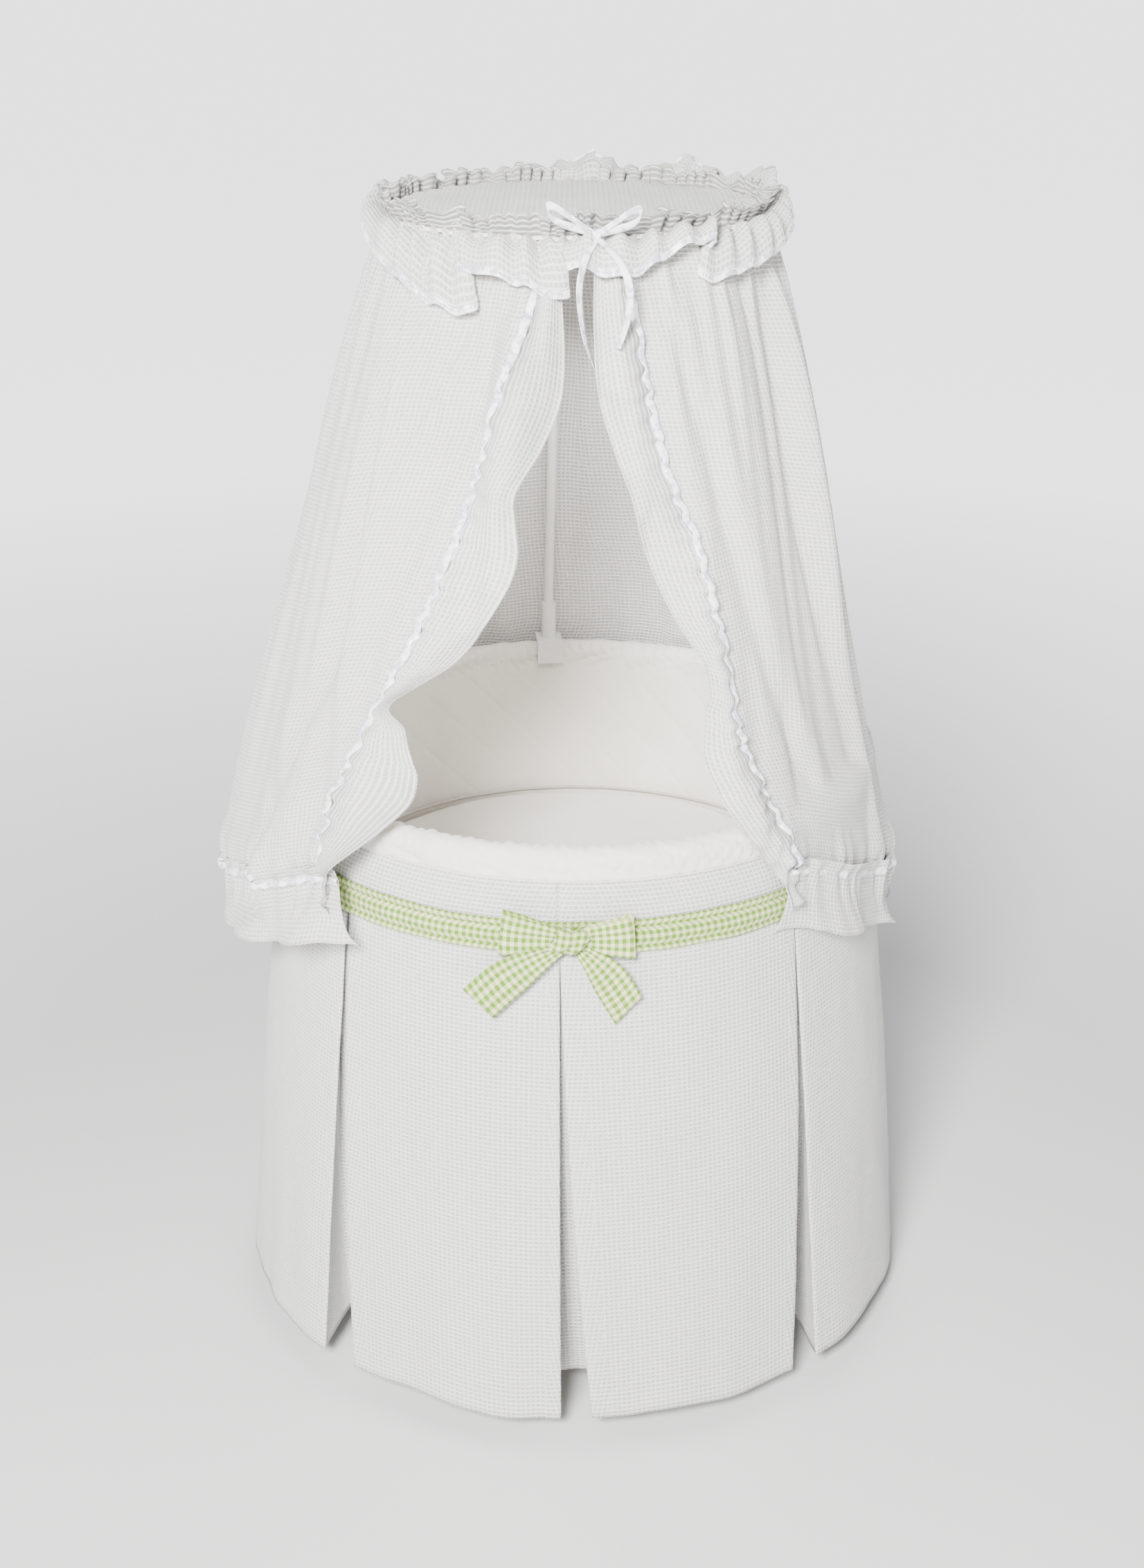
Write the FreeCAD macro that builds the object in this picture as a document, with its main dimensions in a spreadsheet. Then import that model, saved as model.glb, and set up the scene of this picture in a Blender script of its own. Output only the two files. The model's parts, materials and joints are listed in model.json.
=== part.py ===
"""Round bassinet on a wooden stand, with a gathered canopy on a clamped pole.

Millimetres, +Z up. The origin is on the floor under the middle of the basket; the front, where the
canopy opens, faces -Y. Every driving dimension is a cell of the Sizes sheet.
"""

import FreeCAD, Part

import math
import os

import Sketcher
from FreeCAD import Placement, Rotation, Vector

SIZES = {
    # basket
    "WallRadius": 355.0,
    "WallThick": 5.0,
    "HoopRadius": 352.5,
    "HoopSection": 8.0,
    "HoopHeight": 735.0,
    "BoardTop": 500.0,
    "BoardThick": 12.0,
    "PadRadius": 334.0,
    "PadThick": 38.0,
    # bedding
    "LinerInner": 337.0,
    "LinerThick": 5.0,
    "LinerFoldHeight": 733.0,
    "LinerFoldRadius": 15.5,
    "LinerBottom": 506.0,
    "SeamHeight": 713.0,
    "ClothThick": 2.5,
    "BandTopRadius": 366.3,
    "BandBottomRadius": 372.5,
    "BandBottom": 628.0,
    "SashWidth": 39.0,
    "SashGap": 0.5,
    "HemHeight": 30.0,
    "HemRadius": 440.0,
    "WaistRadius": 373.5,
    "WaistHeight": 627.5,
    "PanelCount": 8.0,
    "PleatMouth": 46.0,
    "InsertAngle": 16.0,
    "InsertTopRadius": 368.5,
    "InsertHemRadius": 376.0,
    "InsertHemHeight": 48.0,
    # stand
    "LegCircle": 285.0,
    "LegWidth": 34.0,
    "LegBottom": 78.0,
    "RailHeight": 33.0,
    "ShelfTop": 177.0,
    "ShelfRadius": 300.0,
    "BoltHole": 6.5,
    "BoltDia": 6.0,
    "NutDia": 10.0,
    "NutHeight": 425.0,
    # casters
    "WheelRadius": 25.0,
    "WheelWidth": 18.0,
    "RimSeat": 19.0,
    "AxleDia": 6.0,
    "Trail": 20.0,
    "ForkWidth": 27.0,
    "ForkSlot": 20.6,
    "StemDia": 8.0,
    "SocketDia": 11.0,
    # canopy
    "CanopyHoopRadius": 206.0,
    "CanopyHoopSection": 4.0,
    "CanopyHoopHeight": 1388.0,
    "PoleDia": 13.0,
    "PoleWall": 1.2,
    "PoleTurn": 6.0,
    "PoleTopReach": 197.0,
    "PoleTopHeight": 1380.0,
    "PoleBendHeight": 822.0,
    "PoleFoot": 757.5,
    "PoleJoint": 320.0,
    "DrapeTopRadius": 217.0,
    "DrapeTopHeight": 1384.0,
    "DrapeRimRadius": 385.0,
    "DrapeRimHeight": 748.0,
    "FlounceTopRadius": 410.0,
    "FlounceTopHeight": 612.0,
    "FlounceHemRadius": 440.0,
    "FlounceHemHeight": 535.0,
    "DrapeThick": 3.0,
    "DrapeGap": 0.5,
    "OpeningFoot": 275.0,
    "OpeningRim": 255.0,
    "OpeningMiddle": 94.0,
    "OpeningMiddleHeight": 1048.0,
    "OpeningTop": 6.0,
    "RuffleWidth": 70.0,
    "RuffleTopWidth": 34.0,
    "BackSpread": 0.84,
    "ValanceTopRadius": 217.0,
    "ValanceTopHeight": 1420.0,
    "ValanceHemRadius": 255.0,
    "ValanceHemHeight": 1305.0,
    "TopCoverRadius": 213.0,
}

CASTERS = {"front_right": -45.0, "rear_right": 45.0, "rear_left": 135.0, "front_left": -135.0}
BRAKED = ("front_right", "front_left")
TOLERANCE = 0.001

doc = FreeCAD.newDocument("bassinet")
sheet = doc.addObject("Spreadsheet::Sheet", "Sizes")
for row, (alias, value) in enumerate(SIZES.items(), start=1):
    sheet.set(f"A{row}", alias)
    sheet.set(f"B{row}", str(value))
    sheet.setAlias(f"B{row}", alias)
doc.recompute()

nodes = []


def size(alias):
    """A cell of the sheet, as a number."""
    return float(sheet.get(alias))


def cell(text):
    """An expression with every size name written as a cell of the sheet."""
    words = text.replace("(", " ( ").replace(")", " ) ").split()
    return " ".join(f"Sizes.{word}" if word in SIZES else word for word in words)


def bind(part, **expressions):
    """Drives properties of a feature from the sheet."""
    for name, text in expressions.items():
        part.setExpression(name, cell(text))
    return part


def place(part, x="0", y="0", z="0"):
    """Drives a feature's position from the sheet."""
    for axis, text in zip("xyz", (x, y, z)):
        if text != "0":
            part.setExpression(f"Placement.Base.{axis}", cell(text))
    return part


def node(part, label):
    """Gives a finished sub-part the name of its file."""
    part.Label = label
    nodes.append(part)
    return part


def cylinder(name, radius, height, x="0", y="0", z="0"):
    return place(bind(doc.addObject("Part::Cylinder", name), Radius=radius, Height=height), x, y, z)


def box(name, length, width, height, x="0", y="0", z="0"):
    part = bind(doc.addObject("Part::Box", name), Length=length, Width=width, Height=height)
    return place(part, x, y, z)


def cone(name, low, high, height, z="0", angle=360.0):
    part = bind(doc.addObject("Part::Cone", name), Radius1=low, Radius2=high, Height=height)
    part.Angle = angle
    return place(part, z=z)


def prism(name, foot_half, top_half, reach, foot, top):
    """An upright slab reaching from the middle towards -Y, with a half width at its foot and its top."""
    part = doc.addObject("Part::Wedge", name)
    bind(part, Xmin=f"0 - ( {foot_half} )", Xmax=foot_half, X2min=f"0 - ( {top_half} )", X2max=top_half)
    bind(part, Ymin="0", Ymax=f"{top} - ( {foot} )", Zmin="0", Zmax=reach, Z2min="0", Z2max=reach)
    part.Placement.Rotation = Rotation(Vector(1, 0, 0), 90)
    return place(part, z=foot)


def held_at(part, spot, rotation, offset=Vector()):
    """Sets a feature's placement: an offset in its own frame, then a turn, then a spot."""
    part.Placement = Placement(spot, rotation).multiply(Placement(offset, Rotation()))
    return part


def along_x(part):
    """Lays a feature drawn along Z down along X."""
    part.Placement.Rotation = Rotation(Vector(0, 1, 0), 90)
    return part


def along_y(part):
    """Lays a feature drawn along Z down along Y."""
    part.Placement.Rotation = Rotation(Vector(1, 0, 0), -90)
    return part


def cut(name, base, *tools):
    """base less each tool in turn."""
    part = base
    for number, tool in enumerate(tools):
        result = doc.addObject("Part::Cut", name if number == len(tools) - 1 else f"{name}_step{number}")
        result.Base, result.Tool = part, tool
        part = result
    return part


def fuse(name, *shapes):
    part = doc.addObject("Part::MultiFuse", name)
    part.Shapes = list(shapes)
    return part


def common(name, *shapes):
    part = doc.addObject("Part::MultiCommon", name)
    part.Shapes = list(shapes)
    return part


def group(name, shapes):
    """Separate solids that share one node."""
    part = doc.addObject("Part::Compound", name)
    part.Links = list(shapes)
    return part


def turned(part, angle):
    """Turns a whole feature about the Z axis of the basket."""
    part.Placement = Placement(Vector(), Rotation(Vector(0, 0, 1), angle)).multiply(part.Placement)
    return part


def ring(name, outer_low, outer_high, thick, low, high, angle=360.0):
    """A conical band of cloth: outer radii at its foot and top, and its thickness."""
    height = f"{high} - ( {low} )"
    outside = cone(f"{name}_outside", outer_low, outer_high, height, low, angle)
    inside = cone(f"{name}_inside", f"{outer_low} - {thick}", f"{outer_high} - {thick}", height, low)
    return cut(name, outside, inside)


def plane_of(body, role):
    """An origin plane of a body."""
    return next(f for f in body.Origin.OriginFeatures if f.Role == role)


def sketch_on(body, name, role):
    sketch = body.newObject("Sketcher::SketchObject", name)
    sketch.AttachmentSupport = (plane_of(body, role), "")
    sketch.MapMode = "FlatFace"
    return sketch


def name_last(sketch, name, expression):
    """Names a sketch's newest constraint and drives it from the sheet."""
    index = len(sketch.Constraints) - 1
    sketch.renameConstraint(index, name)
    sketch.setExpression(f"Constraints.{name}", cell(expression))


def circle_in(sketch, name, radius, x=0.0, y=0.0):
    """A circle centred on the sketch's origin, or at a fixed place, with its radius in the sheet."""
    index = sketch.addGeometry(Part.Circle(Vector(x, y, 0), Vector(0, 0, 1), 1.0), False)
    if x == 0.0 and y == 0.0:
        sketch.addConstraint(Sketcher.Constraint("Coincident", index, 3, -1, 1))
    else:
        sketch.addConstraint(Sketcher.Constraint("Block", index))
    sketch.addConstraint(Sketcher.Constraint("Radius", index, 1.0))
    name_last(sketch, name, radius)
    return index


def square_in(sketch, side):
    """A square centred on the sketch's origin."""
    half = size(side) / 2
    corners = [Vector(-half, -half), Vector(half, -half), Vector(half, half), Vector(-half, half)]
    lines = [
        sketch.addGeometry(Part.LineSegment(corners[i], corners[(i + 1) % 4]), False) for i in range(4)
    ]
    for i in range(4):
        sketch.addConstraint(Sketcher.Constraint("Coincident", lines[i], 2, lines[(i + 1) % 4], 1))
    for i, kind in enumerate(("Horizontal", "Vertical", "Horizontal", "Vertical")):
        sketch.addConstraint(Sketcher.Constraint(kind, lines[i]))
    sketch.addConstraint(Sketcher.Constraint("Symmetric", lines[0], 1, lines[1], 2, -1, 1))
    sketch.addConstraint(Sketcher.Constraint("DistanceX", lines[0], 1, lines[0], 2, 2 * half))
    name_last(sketch, "Width", side)
    sketch.addConstraint(Sketcher.Constraint("DistanceY", lines[1], 1, lines[1], 2, 2 * half))
    name_last(sketch, "Depth", side)


def outline_in(sketch, points):
    """A closed outline of straight runs through fixed points."""
    count = len(points)
    for i in range(count):
        run = Part.LineSegment(Vector(*points[i], 0), Vector(*points[(i + 1) % count], 0))
        sketch.addConstraint(Sketcher.Constraint("Block", sketch.addGeometry(run, False)))


def pad(body, sketch, length, name, reverse=False, middle=False):
    feature = body.newObject("PartDesign::Pad", name)
    feature.Profile = sketch
    bind(feature, Length=length)
    feature.Reversed = reverse
    if middle:
        feature.Midplane = True
    return feature


def pocket(body, sketch, length, name, reverse=False, middle=False):
    feature = body.newObject("PartDesign::Pocket", name)
    feature.Profile = sketch
    bind(feature, Length=length)
    feature.Reversed = reverse
    if middle:
        feature.Midplane = True
    return feature


def revolved(body, sketch, name, axis="Z_Axis"):
    feature = body.newObject("PartDesign::Revolution", name)
    feature.Profile = sketch
    feature.ReferenceAxis = (plane_of(body, axis), "")
    feature.Angle = 360
    return feature


# ---------------------------------------------------------------- stand


def make_leg(label, angle):
    """A square leg, bored at its foot for the caster socket and at its head for the frame bolt."""
    body = doc.addObject("PartDesign::Body", label + "_body")
    outline = sketch_on(body, label + "_outline", "XY_Plane")
    square_in(outline, "LegWidth")
    pad(body, outline, "BoardTop - BoardThick - RailHeight - LegBottom", label + "_pad")
    foot = sketch_on(body, label + "_foot", "XY_Plane")
    circle_in(foot, "SocketRadius", "SocketDia / 2")
    pocket(body, foot, "SocketDia * 3.2", label + "_foot_hole", reverse=True)
    doc.recompute()
    upright = [
        f"Edge{i + 1}"
        for i, edge in enumerate(body.Shape.Edges)
        if len(edge.Vertexes) == 2 and abs(edge.tangentAt(edge.FirstParameter).z) > 0.99
        and edge.Length > 100
        and max(abs(edge.Vertexes[0].X), abs(edge.Vertexes[0].Y)) > size("LegWidth") / 2 - 1
    ]
    base = body.Tip
    rounding = body.newObject("PartDesign::Fillet", label + "_rounding")
    rounding.Base = (base, upright)
    rounding.Radius = 3
    body.Tip = rounding
    head = cylinder(label + "_head", "BoltHole / 2", "90", z="BoardTop - BoardThick - RailHeight - 60")
    nut = along_y(cylinder(label + "_nut", "NutDia / 2 + 0.1", "LegWidth / 2 + 9", y="-9", z="NutHeight"))
    pilot = along_y(cylinder(label + "_pilot", "2.05", "19", "0", "-1 - LegWidth / 2", "ShelfTop - 30"))
    place(body, z="LegBottom")
    leg = cut(label + "_cut", body, head, nut, pilot)
    turn = Rotation(Vector(0, 0, 1), angle - 90)
    leg.Placement = Placement(turn.multVec(Vector(0, size("LegCircle"), 0)), turn)
    return node(leg, label)


def make_rail(label, angle, notch_low):
    """A cross rail under the basket, halved where the two cross."""
    half = "LegCircle + LegWidth / 2"
    rail = box(label + "_bar", f"2 * ( {half} )", "LegWidth", "RailHeight", f"0 - ( {half} )",
               "0 - LegWidth / 2", "BoardTop - BoardThick - RailHeight")
    low = "BoardTop - BoardThick - RailHeight" if notch_low else "BoardTop - BoardThick - RailHeight / 2"
    notch = box(label + "_notch", "LegWidth + 0.4", "LegWidth + 2", "RailHeight / 2", "0 - LegWidth / 2 - 0.2",
                "0 - LegWidth / 2 - 1", low)
    holes = [
        cylinder(f"{label}_hole{i}", "BoltHole / 2", "RailHeight + 2", f"{side} * LegCircle", "0",
                 "BoardTop - BoardThick - RailHeight - 1")
        for i, side in enumerate(("-1", "1"))
    ]
    rail = cut(label + "_cut", rail, notch, *holes)
    return node(turned(rail, angle), label)


def around(name, count, first, make):
    """Copies of one feature at even angles about the Z axis."""
    return [turned(make(f"{name}{i}"), first + 360.0 * i / count) for i in range(count)]


def frame_bolt(name):
    """A furniture bolt with a sunk flat head."""
    head = cylinder(name + "_head", "BoltDia", "3.5", "LegCircle", "0", "BoardTop - 3.8")
    shank = cylinder(name + "_shank", "BoltDia / 2", "84", "LegCircle", "0", "BoardTop - 87")
    key = bind(doc.addObject("Part::Prism", name + "_key"), Circumradius="2.3", Height="3")
    place(key, "LegCircle", "0", "BoardTop - 2.6")
    return cut(name + "_bolt", fuse(name + "_raw", head, shank), key)


def barrel_nut(name):
    """The cross dowel in the leg that a frame bolt screws into."""
    barrel = along_x(cylinder(name + "_barrel", "NutDia / 2", "16", "LegCircle - 8", "0", "NutHeight"))
    bore = cylinder(name + "_bore", "BoltDia / 2 + 0.05", "NutDia * 2", "LegCircle", "0", "NutHeight - NutDia")
    return cut(name + "_nut", barrel, bore)


def make_board():
    """The round board that carries the mattress pad."""
    body = doc.addObject("PartDesign::Body", "basket_board_body")
    outline = sketch_on(body, "board_outline", "XY_Plane")
    circle_in(outline, "BoardRadius", "WallRadius - WallThick")
    pad(body, outline, "BoardThick", "board_pad")
    first = size("LegCircle")
    for name, radius, depth, start in (
        ("board_hole", "BoltHole / 2", "BoardThick + 1", False),
        ("board_sink", "BoltDia + 0.5", "4", True),
    ):
        sketch = sketch_on(body, name + "_sketch", "XY_Plane")
        if start:
            sketch.AttachmentOffset = Placement(Vector(0, 0, size("BoardThick")), Rotation())
        for i in range(4):
            spot = math.radians(45 + 90 * i)
            circle_in(sketch, f"Radius{i}", radius, first * math.cos(spot), first * math.sin(spot))
        pocket(body, sketch, depth, name, reverse=not start)
    place(body, z="BoardTop - BoardThick")
    return node(body, "basket_board")


def make_shelf():
    """The storage shelf under the basket, notched round the legs."""
    disc = cylinder("shelf_disc", "ShelfRadius", "12", z="ShelfTop - 12")
    notches = around("shelf_notch", 4, 45, lambda name: group(name, [box(
        name + "_box", "LegWidth * 2", "LegWidth + 0.8", "14", "LegCircle - LegWidth / 2 - 0.4",
        "0 - LegWidth / 2 - 0.4", "ShelfTop - 13")]))
    return node(cut("shelf_cut", disc, *notches), "storage_shelf")


def shelf_bracket(name):
    """An angle bracket screwed to the inside of a leg, under the shelf."""
    inner = "LegCircle - LegWidth / 2"
    flat = box(name + "_flat", "26", "22", "2", f"{inner} - 26", "-11", "ShelfTop - 14")
    upright = box(name + "_upright", "2", "22", "28", f"{inner} - 2", "-11", "ShelfTop - 40")
    hole = cylinder(name + "_hole", "2.1", "4", f"{inner} - 16", "0", "ShelfTop - 15")
    cross = along_x(cylinder(name + "_cross", "2.1", "4", f"{inner} - 3", "0", "ShelfTop - 30"))
    return cut(name + "_bracket", fuse(name + "_angle", flat, upright), hole, cross)


def bracket_screw(name):
    """The pan head screw that holds a bracket to its leg; its shank is in the leg's pilot hole."""
    inner = "LegCircle - LegWidth / 2"
    head = along_x(cylinder(name + "_head", "4", "2", f"{inner} - 4", "0", "ShelfTop - 30"))
    shank = along_x(cylinder(name + "_shank", "2", "17", f"{inner} - 2.4", "0", "ShelfTop - 30"))
    return fuse(name + "_screw", head, shank)


def leg_socket(name):
    """The flanged sleeve in a leg's foot that takes a caster stem."""
    sleeve = cylinder(name + "_sleeve", "SocketDia / 2", "34", "LegCircle", "0", "LegBottom")
    flange = cylinder(name + "_flange", "10", "1.2", "LegCircle", "0", "LegBottom - 1.2")
    bore = cylinder(name + "_bore", "StemDia / 2 + 0.05", "32", "LegCircle", "0", "LegBottom - 2")
    return cut(name + "_socket", fuse(name + "_raw", sleeve, flange), bore)


# ---------------------------------------------------------------- casters


def on_caster(part, angle):
    """Moves a feature from the caster's own frame, trail along +Y, to its leg, trail outwards."""
    turn = Rotation(Vector(0, 0, 1), angle - 90)
    at_leg = Placement(turn.multVec(Vector(0, size("LegCircle"), 0)), turn)
    part.Placement = at_leg.multiply(part.Placement)
    return part


def make_fork(label, angle):
    """The caster's hood and cheeks in one piece with its swivel stem."""
    body = doc.addObject("PartDesign::Body", label + "_body")
    trail, axle = size("Trail"), size("WheelRadius")
    cheek = sketch_on(body, label + "_cheek", "YZ_Plane")
    outline_in(cheek, [(-12, 72), (26, 72), (33, 52), (trail + 9, axle - 4), (trail + 4, axle - 9),
                       (trail - 4, axle - 9), (trail - 9, axle - 4), (-12, 60)])
    pad(body, cheek, "ForkWidth", label + "_pad", middle=True)
    slot = sketch_on(body, label + "_slot", "YZ_Plane")
    outline_in(slot, [(-20, 5), (60, 5), (60, 66), (-20, 66)])
    pocket(body, slot, "ForkSlot", label + "_slot_cut", middle=True)
    hole = sketch_on(body, label + "_hole", "YZ_Plane")
    circle_in(hole, "AxleRadius", "AxleDia / 2 + 0.02", trail, axle)
    pocket(body, hole, "ForkWidth * 2", label + "_hole_cut", middle=True)
    shapes = [body, cylinder(label + "_hub", "12", "LegBottom - 1.6 - 70", z="70"),
              cylinder(label + "_stem", "StemDia / 2", "30", z="LegBottom - 2")]
    fork = fuse(label + "_fuse", *shapes)
    if label.split("fork_")[1] in BRAKED:
        pin = along_x(cylinder(label + "_pivot", "2.05", "ForkWidth + 2", "-1 - ForkWidth / 2", "24", "57"))
        fork = cut(label + "_cut", fork, pin)
    return node(on_caster(fork, angle), label)


def make_wheel(place_name, angle):
    """A plastic wheel centre with hollowed sides, its rubber tyre and its axle."""
    centre = along_x(cylinder(f"centre_{place_name}", "RimSeat - 0.02", "WheelWidth",
                             "0 - WheelWidth / 2", "Trail", "WheelRadius"))
    bore = along_x(cylinder(f"bore_{place_name}", "AxleDia / 2 + 0.05", "WheelWidth + 2",
                           "-1 - WheelWidth / 2", "Trail", "WheelRadius"))
    tools = [bore]
    for side, start in (("a", "0 - WheelWidth / 2 - 1"), ("b", "WheelWidth / 2 - 4")):
        dish = along_x(cylinder(f"dish_{place_name}_{side}", "RimSeat - 3", "5", start, "Trail", "WheelRadius"))
        boss = along_x(cylinder(f"boss_{place_name}_{side}", "AxleDia / 2 + 2.5", "7",
                               f"{start} - 1", "Trail", "WheelRadius"))
        tools.append(cut(f"hollow_{place_name}_{side}", dish, boss))
    node(on_caster(cut(f"wheel_cut_{place_name}", centre, *tools), angle), f"caster_wheel_{place_name}")
    tyre = along_x(cylinder(f"tyre_{place_name}", "WheelRadius", "WheelWidth",
                           "0 - WheelWidth / 2", "Trail", "WheelRadius"))
    doc.recompute()
    rims = [(i + 1, 2.5, 2.5) for i, edge in enumerate(tyre.Shape.Edges) if len(edge.Vertexes) == 1]
    soft = doc.addObject("Part::Fillet", f"tyre_soft_{place_name}")
    soft.Base, soft.Edges = tyre, rims
    seat = along_x(cylinder(f"seat_{place_name}", "RimSeat", "WheelWidth + 2",
                           "-1 - WheelWidth / 2", "Trail", "WheelRadius"))
    node(on_caster(cut(f"tyre_cut_{place_name}", soft, seat), angle), f"caster_tyre_{place_name}")
    axle = along_x(cylinder(f"axle_rod_{place_name}", "AxleDia / 2", "ForkWidth + 1",
                           "0 - ForkWidth / 2 - 0.5", "Trail", "WheelRadius"))
    heads = [
        along_x(cylinder(f"axle_head_{place_name}_{side}", "4.5", "1.2", start, "Trail", "WheelRadius"))
        for side, start in (("a", "0 - ForkWidth / 2 - 1.2"), ("b", "ForkWidth / 2"))
    ]
    node(on_caster(fuse(f"axle_fuse_{place_name}", axle, *heads), angle), f"caster_axle_{place_name}")


def make_brake(place_name, angle):
    """The brake pedal: a lever with its own trunnions and a shoe that bears on the tyre."""
    label = f"brake_lever_{place_name}"
    body = doc.addObject("PartDesign::Body", label + "_body")
    side = sketch_on(body, label + "_side", "YZ_Plane")
    outline_in(side, [(20.5, 60.5), (28, 60.5), (38, 58), (52, 54), (52, 51), (37, 53), (31.5, 53),
                      (29, 50.6), (26.5, 52.5), (20.5, 54.5)])
    pad(body, side, "ForkSlot - 2", label + "_pad", middle=True)
    trunnion = along_x(cylinder(label + "_trunnion", "2", "ForkWidth - 0.6", "0.3 - ForkWidth / 2", "24", "57"))
    return node(on_caster(fuse(label + "_fuse", body, trunnion), angle), label)


# ---------------------------------------------------------------- basket


def make_wall():
    """The bent plywood side of the basket, let into the top hoop."""
    outside = cylinder("wall_outside", "WallRadius", "HoopHeight - BoardTop + BoardThick",
                       z="BoardTop - BoardThick")
    inside = cylinder("wall_inside", "WallRadius - WallThick", "HoopHeight", z="BoardTop - BoardThick - 5")
    return node(cut("wall_cut", outside, inside), "basket_wall")


def make_hoop():
    """The round rail along the basket's rim, grooved for the wall."""
    hoop = bind(doc.addObject("Part::Torus", "hoop_round"), Radius1="HoopRadius", Radius2="HoopSection")
    place(hoop, z="HoopHeight")
    outside = cylinder("groove_outside", "WallRadius", "HoopSection * 2", z="HoopHeight - HoopSection * 2")
    inside = cylinder("groove_inside", "WallRadius - WallThick", "HoopSection * 2 + 2",
                      z="HoopHeight - HoopSection * 2 - 1")
    return node(cut("hoop_cut", hoop, cut("groove", outside, inside)), "rim_hoop")


def make_band():
    """The bent band round the foot of the wall."""
    outside = cylinder("foot_band_outside", "WallRadius + 5", "24", z="BoardTop - BoardThick")
    inside = cylinder("foot_band_inside", "WallRadius", "26", z="BoardTop - BoardThick - 1")
    node(cut("foot_band_cut", outside, inside), "basket_foot_band")


def band_screw(name):
    """A round head screw; it stops at the band's face, where its pilot hole would start."""
    dome = doc.addObject("Part::Sphere", name + "_dome")
    bind(dome, Radius="4.5")
    place(dome, "WallRadius + 5 - 2.2", "0", "BoardTop - BoardThick / 2")
    keep = along_x(cylinder(name + "_keep", "6", "8", "WallRadius + 5", "0", "BoardTop - BoardThick / 2"))
    return common(name + "_head", dome, keep)


def rim_wrap(radius):
    """The half round of the liner over the rim, out to a distance from the middle of the fold."""
    middle = size("LinerInner") + size("LinerFoldRadius")
    height = size("LinerFoldHeight")
    left = Vector(middle - radius, 0, height)
    top = Vector(middle, 0, height + radius)
    right = Vector(middle + radius, 0, height)
    return left, right, Part.Arc(left, top, right).toShape()


def make_liner():
    """The quilted liner: up the inside of the wall, over the rim and down to the skirt seam."""
    outer_left, outer_right, outer_arc = rim_wrap(size("LinerFoldRadius"))
    inner_left, inner_right, inner_arc = rim_wrap(size("LinerFoldRadius") - size("LinerThick"))
    inside_foot, seam = size("LinerBottom"), size("SeamHeight")
    runs = [
        Part.makeLine(Vector(outer_left.x, 0, inside_foot), outer_left),
        outer_arc,
        Part.makeLine(outer_right, Vector(outer_right.x, 0, seam)),
        Part.makeLine(Vector(outer_right.x, 0, seam), Vector(inner_right.x, 0, seam)),
        Part.makeLine(Vector(inner_right.x, 0, seam), inner_right),
        inner_arc,
        Part.makeLine(inner_left, Vector(inner_left.x, 0, inside_foot)),
        Part.makeLine(Vector(inner_left.x, 0, inside_foot), Vector(outer_left.x, 0, inside_foot)),
    ]
    profile = Part.Face(Part.Wire(Part.sortEdges(runs)[0]))
    liner = doc.addObject("Part::Feature", "liner_cloth")
    liner.Shape = profile.revolve(Vector(), Vector(0, 0, 1), 360)
    return node(liner, "bumper_liner")


def make_pad():
    """The mattress pad in its fitted sheet."""
    raw = cylinder("pad_raw", "PadRadius", "PadThick", z="BoardTop")
    doc.recompute()
    rims = [(i + 1, 9.0, 9.0) for i, edge in enumerate(raw.Shape.Edges)
            if len(edge.Vertexes) == 1 and edge.Vertexes[0].Z > size("BoardTop") + 1]
    soft = doc.addObject("Part::Fillet", "pad_soft")
    soft.Base, soft.Edges = raw, rims
    return node(soft, "mattress_pad")


# ---------------------------------------------------------------- skirt


def make_skirt():
    """The top band, eight flared panels with box pleats between them, and the pleats' backs."""
    node(ring("band", "BandBottomRadius", "BandTopRadius", "ClothThick", "BandBottom", "SeamHeight - 0.5"),
         "skirt_band")
    count = int(size("PanelCount"))
    step = 360.0 / count
    mouths = []
    for i in range(count):
        mouth = prism(f"mouth{i}", "PleatMouth / 2", "0.4", "HemRadius * 1.3", "HemHeight - 1", "WaistHeight + 1")
        mouths.append(turned(mouth, step * i))
    for i in range(count):
        panel = ring(f"panel{i}", "HemRadius", "WaistRadius", "ClothThick", "HemHeight", "WaistHeight", step)
        sector = turned(panel, step * i - 90)
        node(cut(f"panel{i}_cut", sector, mouths[i], mouths[(i + 1) % count]), f"skirt_panel_{i + 1}")
    backs = []
    for i in range(count):
        back = ring(f"back{i}", "InsertHemRadius", "InsertTopRadius", "ClothThick", "InsertHemHeight",
                    "WaistHeight - 2", size("InsertAngle"))
        backs.append(turned(back, step * i - 90 - size("InsertAngle") / 2))
    node(group("backs", backs), "pleat_backs")


def make_sash():
    """The gingham sash round the band, and its bow."""
    outer = "BandBottomRadius + SashGap + ClothThick"
    slope = "( BandBottomRadius - BandTopRadius ) * SashWidth / ( SeamHeight - BandBottom )"
    node(ring("sash_ring", outer, f"{outer} - {slope}", "ClothThick", "BandBottom", "BandBottom + SashWidth"),
         "sash")
    middle = Vector(-7, -2.8 - size("BandBottomRadius"), size("BandBottom") + size("SashWidth") / 2)
    knot = box("bow_knot", "24", "17", "24")
    shapes = [held_at(knot, middle, Rotation(), Vector(-12, -17, -12))]
    for side, reach in ((-1, 79), (1, 74)):
        shapes.append(bow_loop(f"bow_loop{side}", side, middle + Vector(0, -8, 0), reach, 9, 27, 6))
    for side, lean, length in ((-1, 54, 124), (1, -39, 110)):
        tail = box(f"bow_tail{side}", "40", "3", f"{length}")
        spot = middle + Vector(side * 3, -13, 0)
        shapes.append(held_at(tail, spot, Rotation(Vector(0, 1, 0), lean), Vector(-20, -1.5, -length)))
    node(fuse("bow_fuse", *shapes), "sash_bow")


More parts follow.
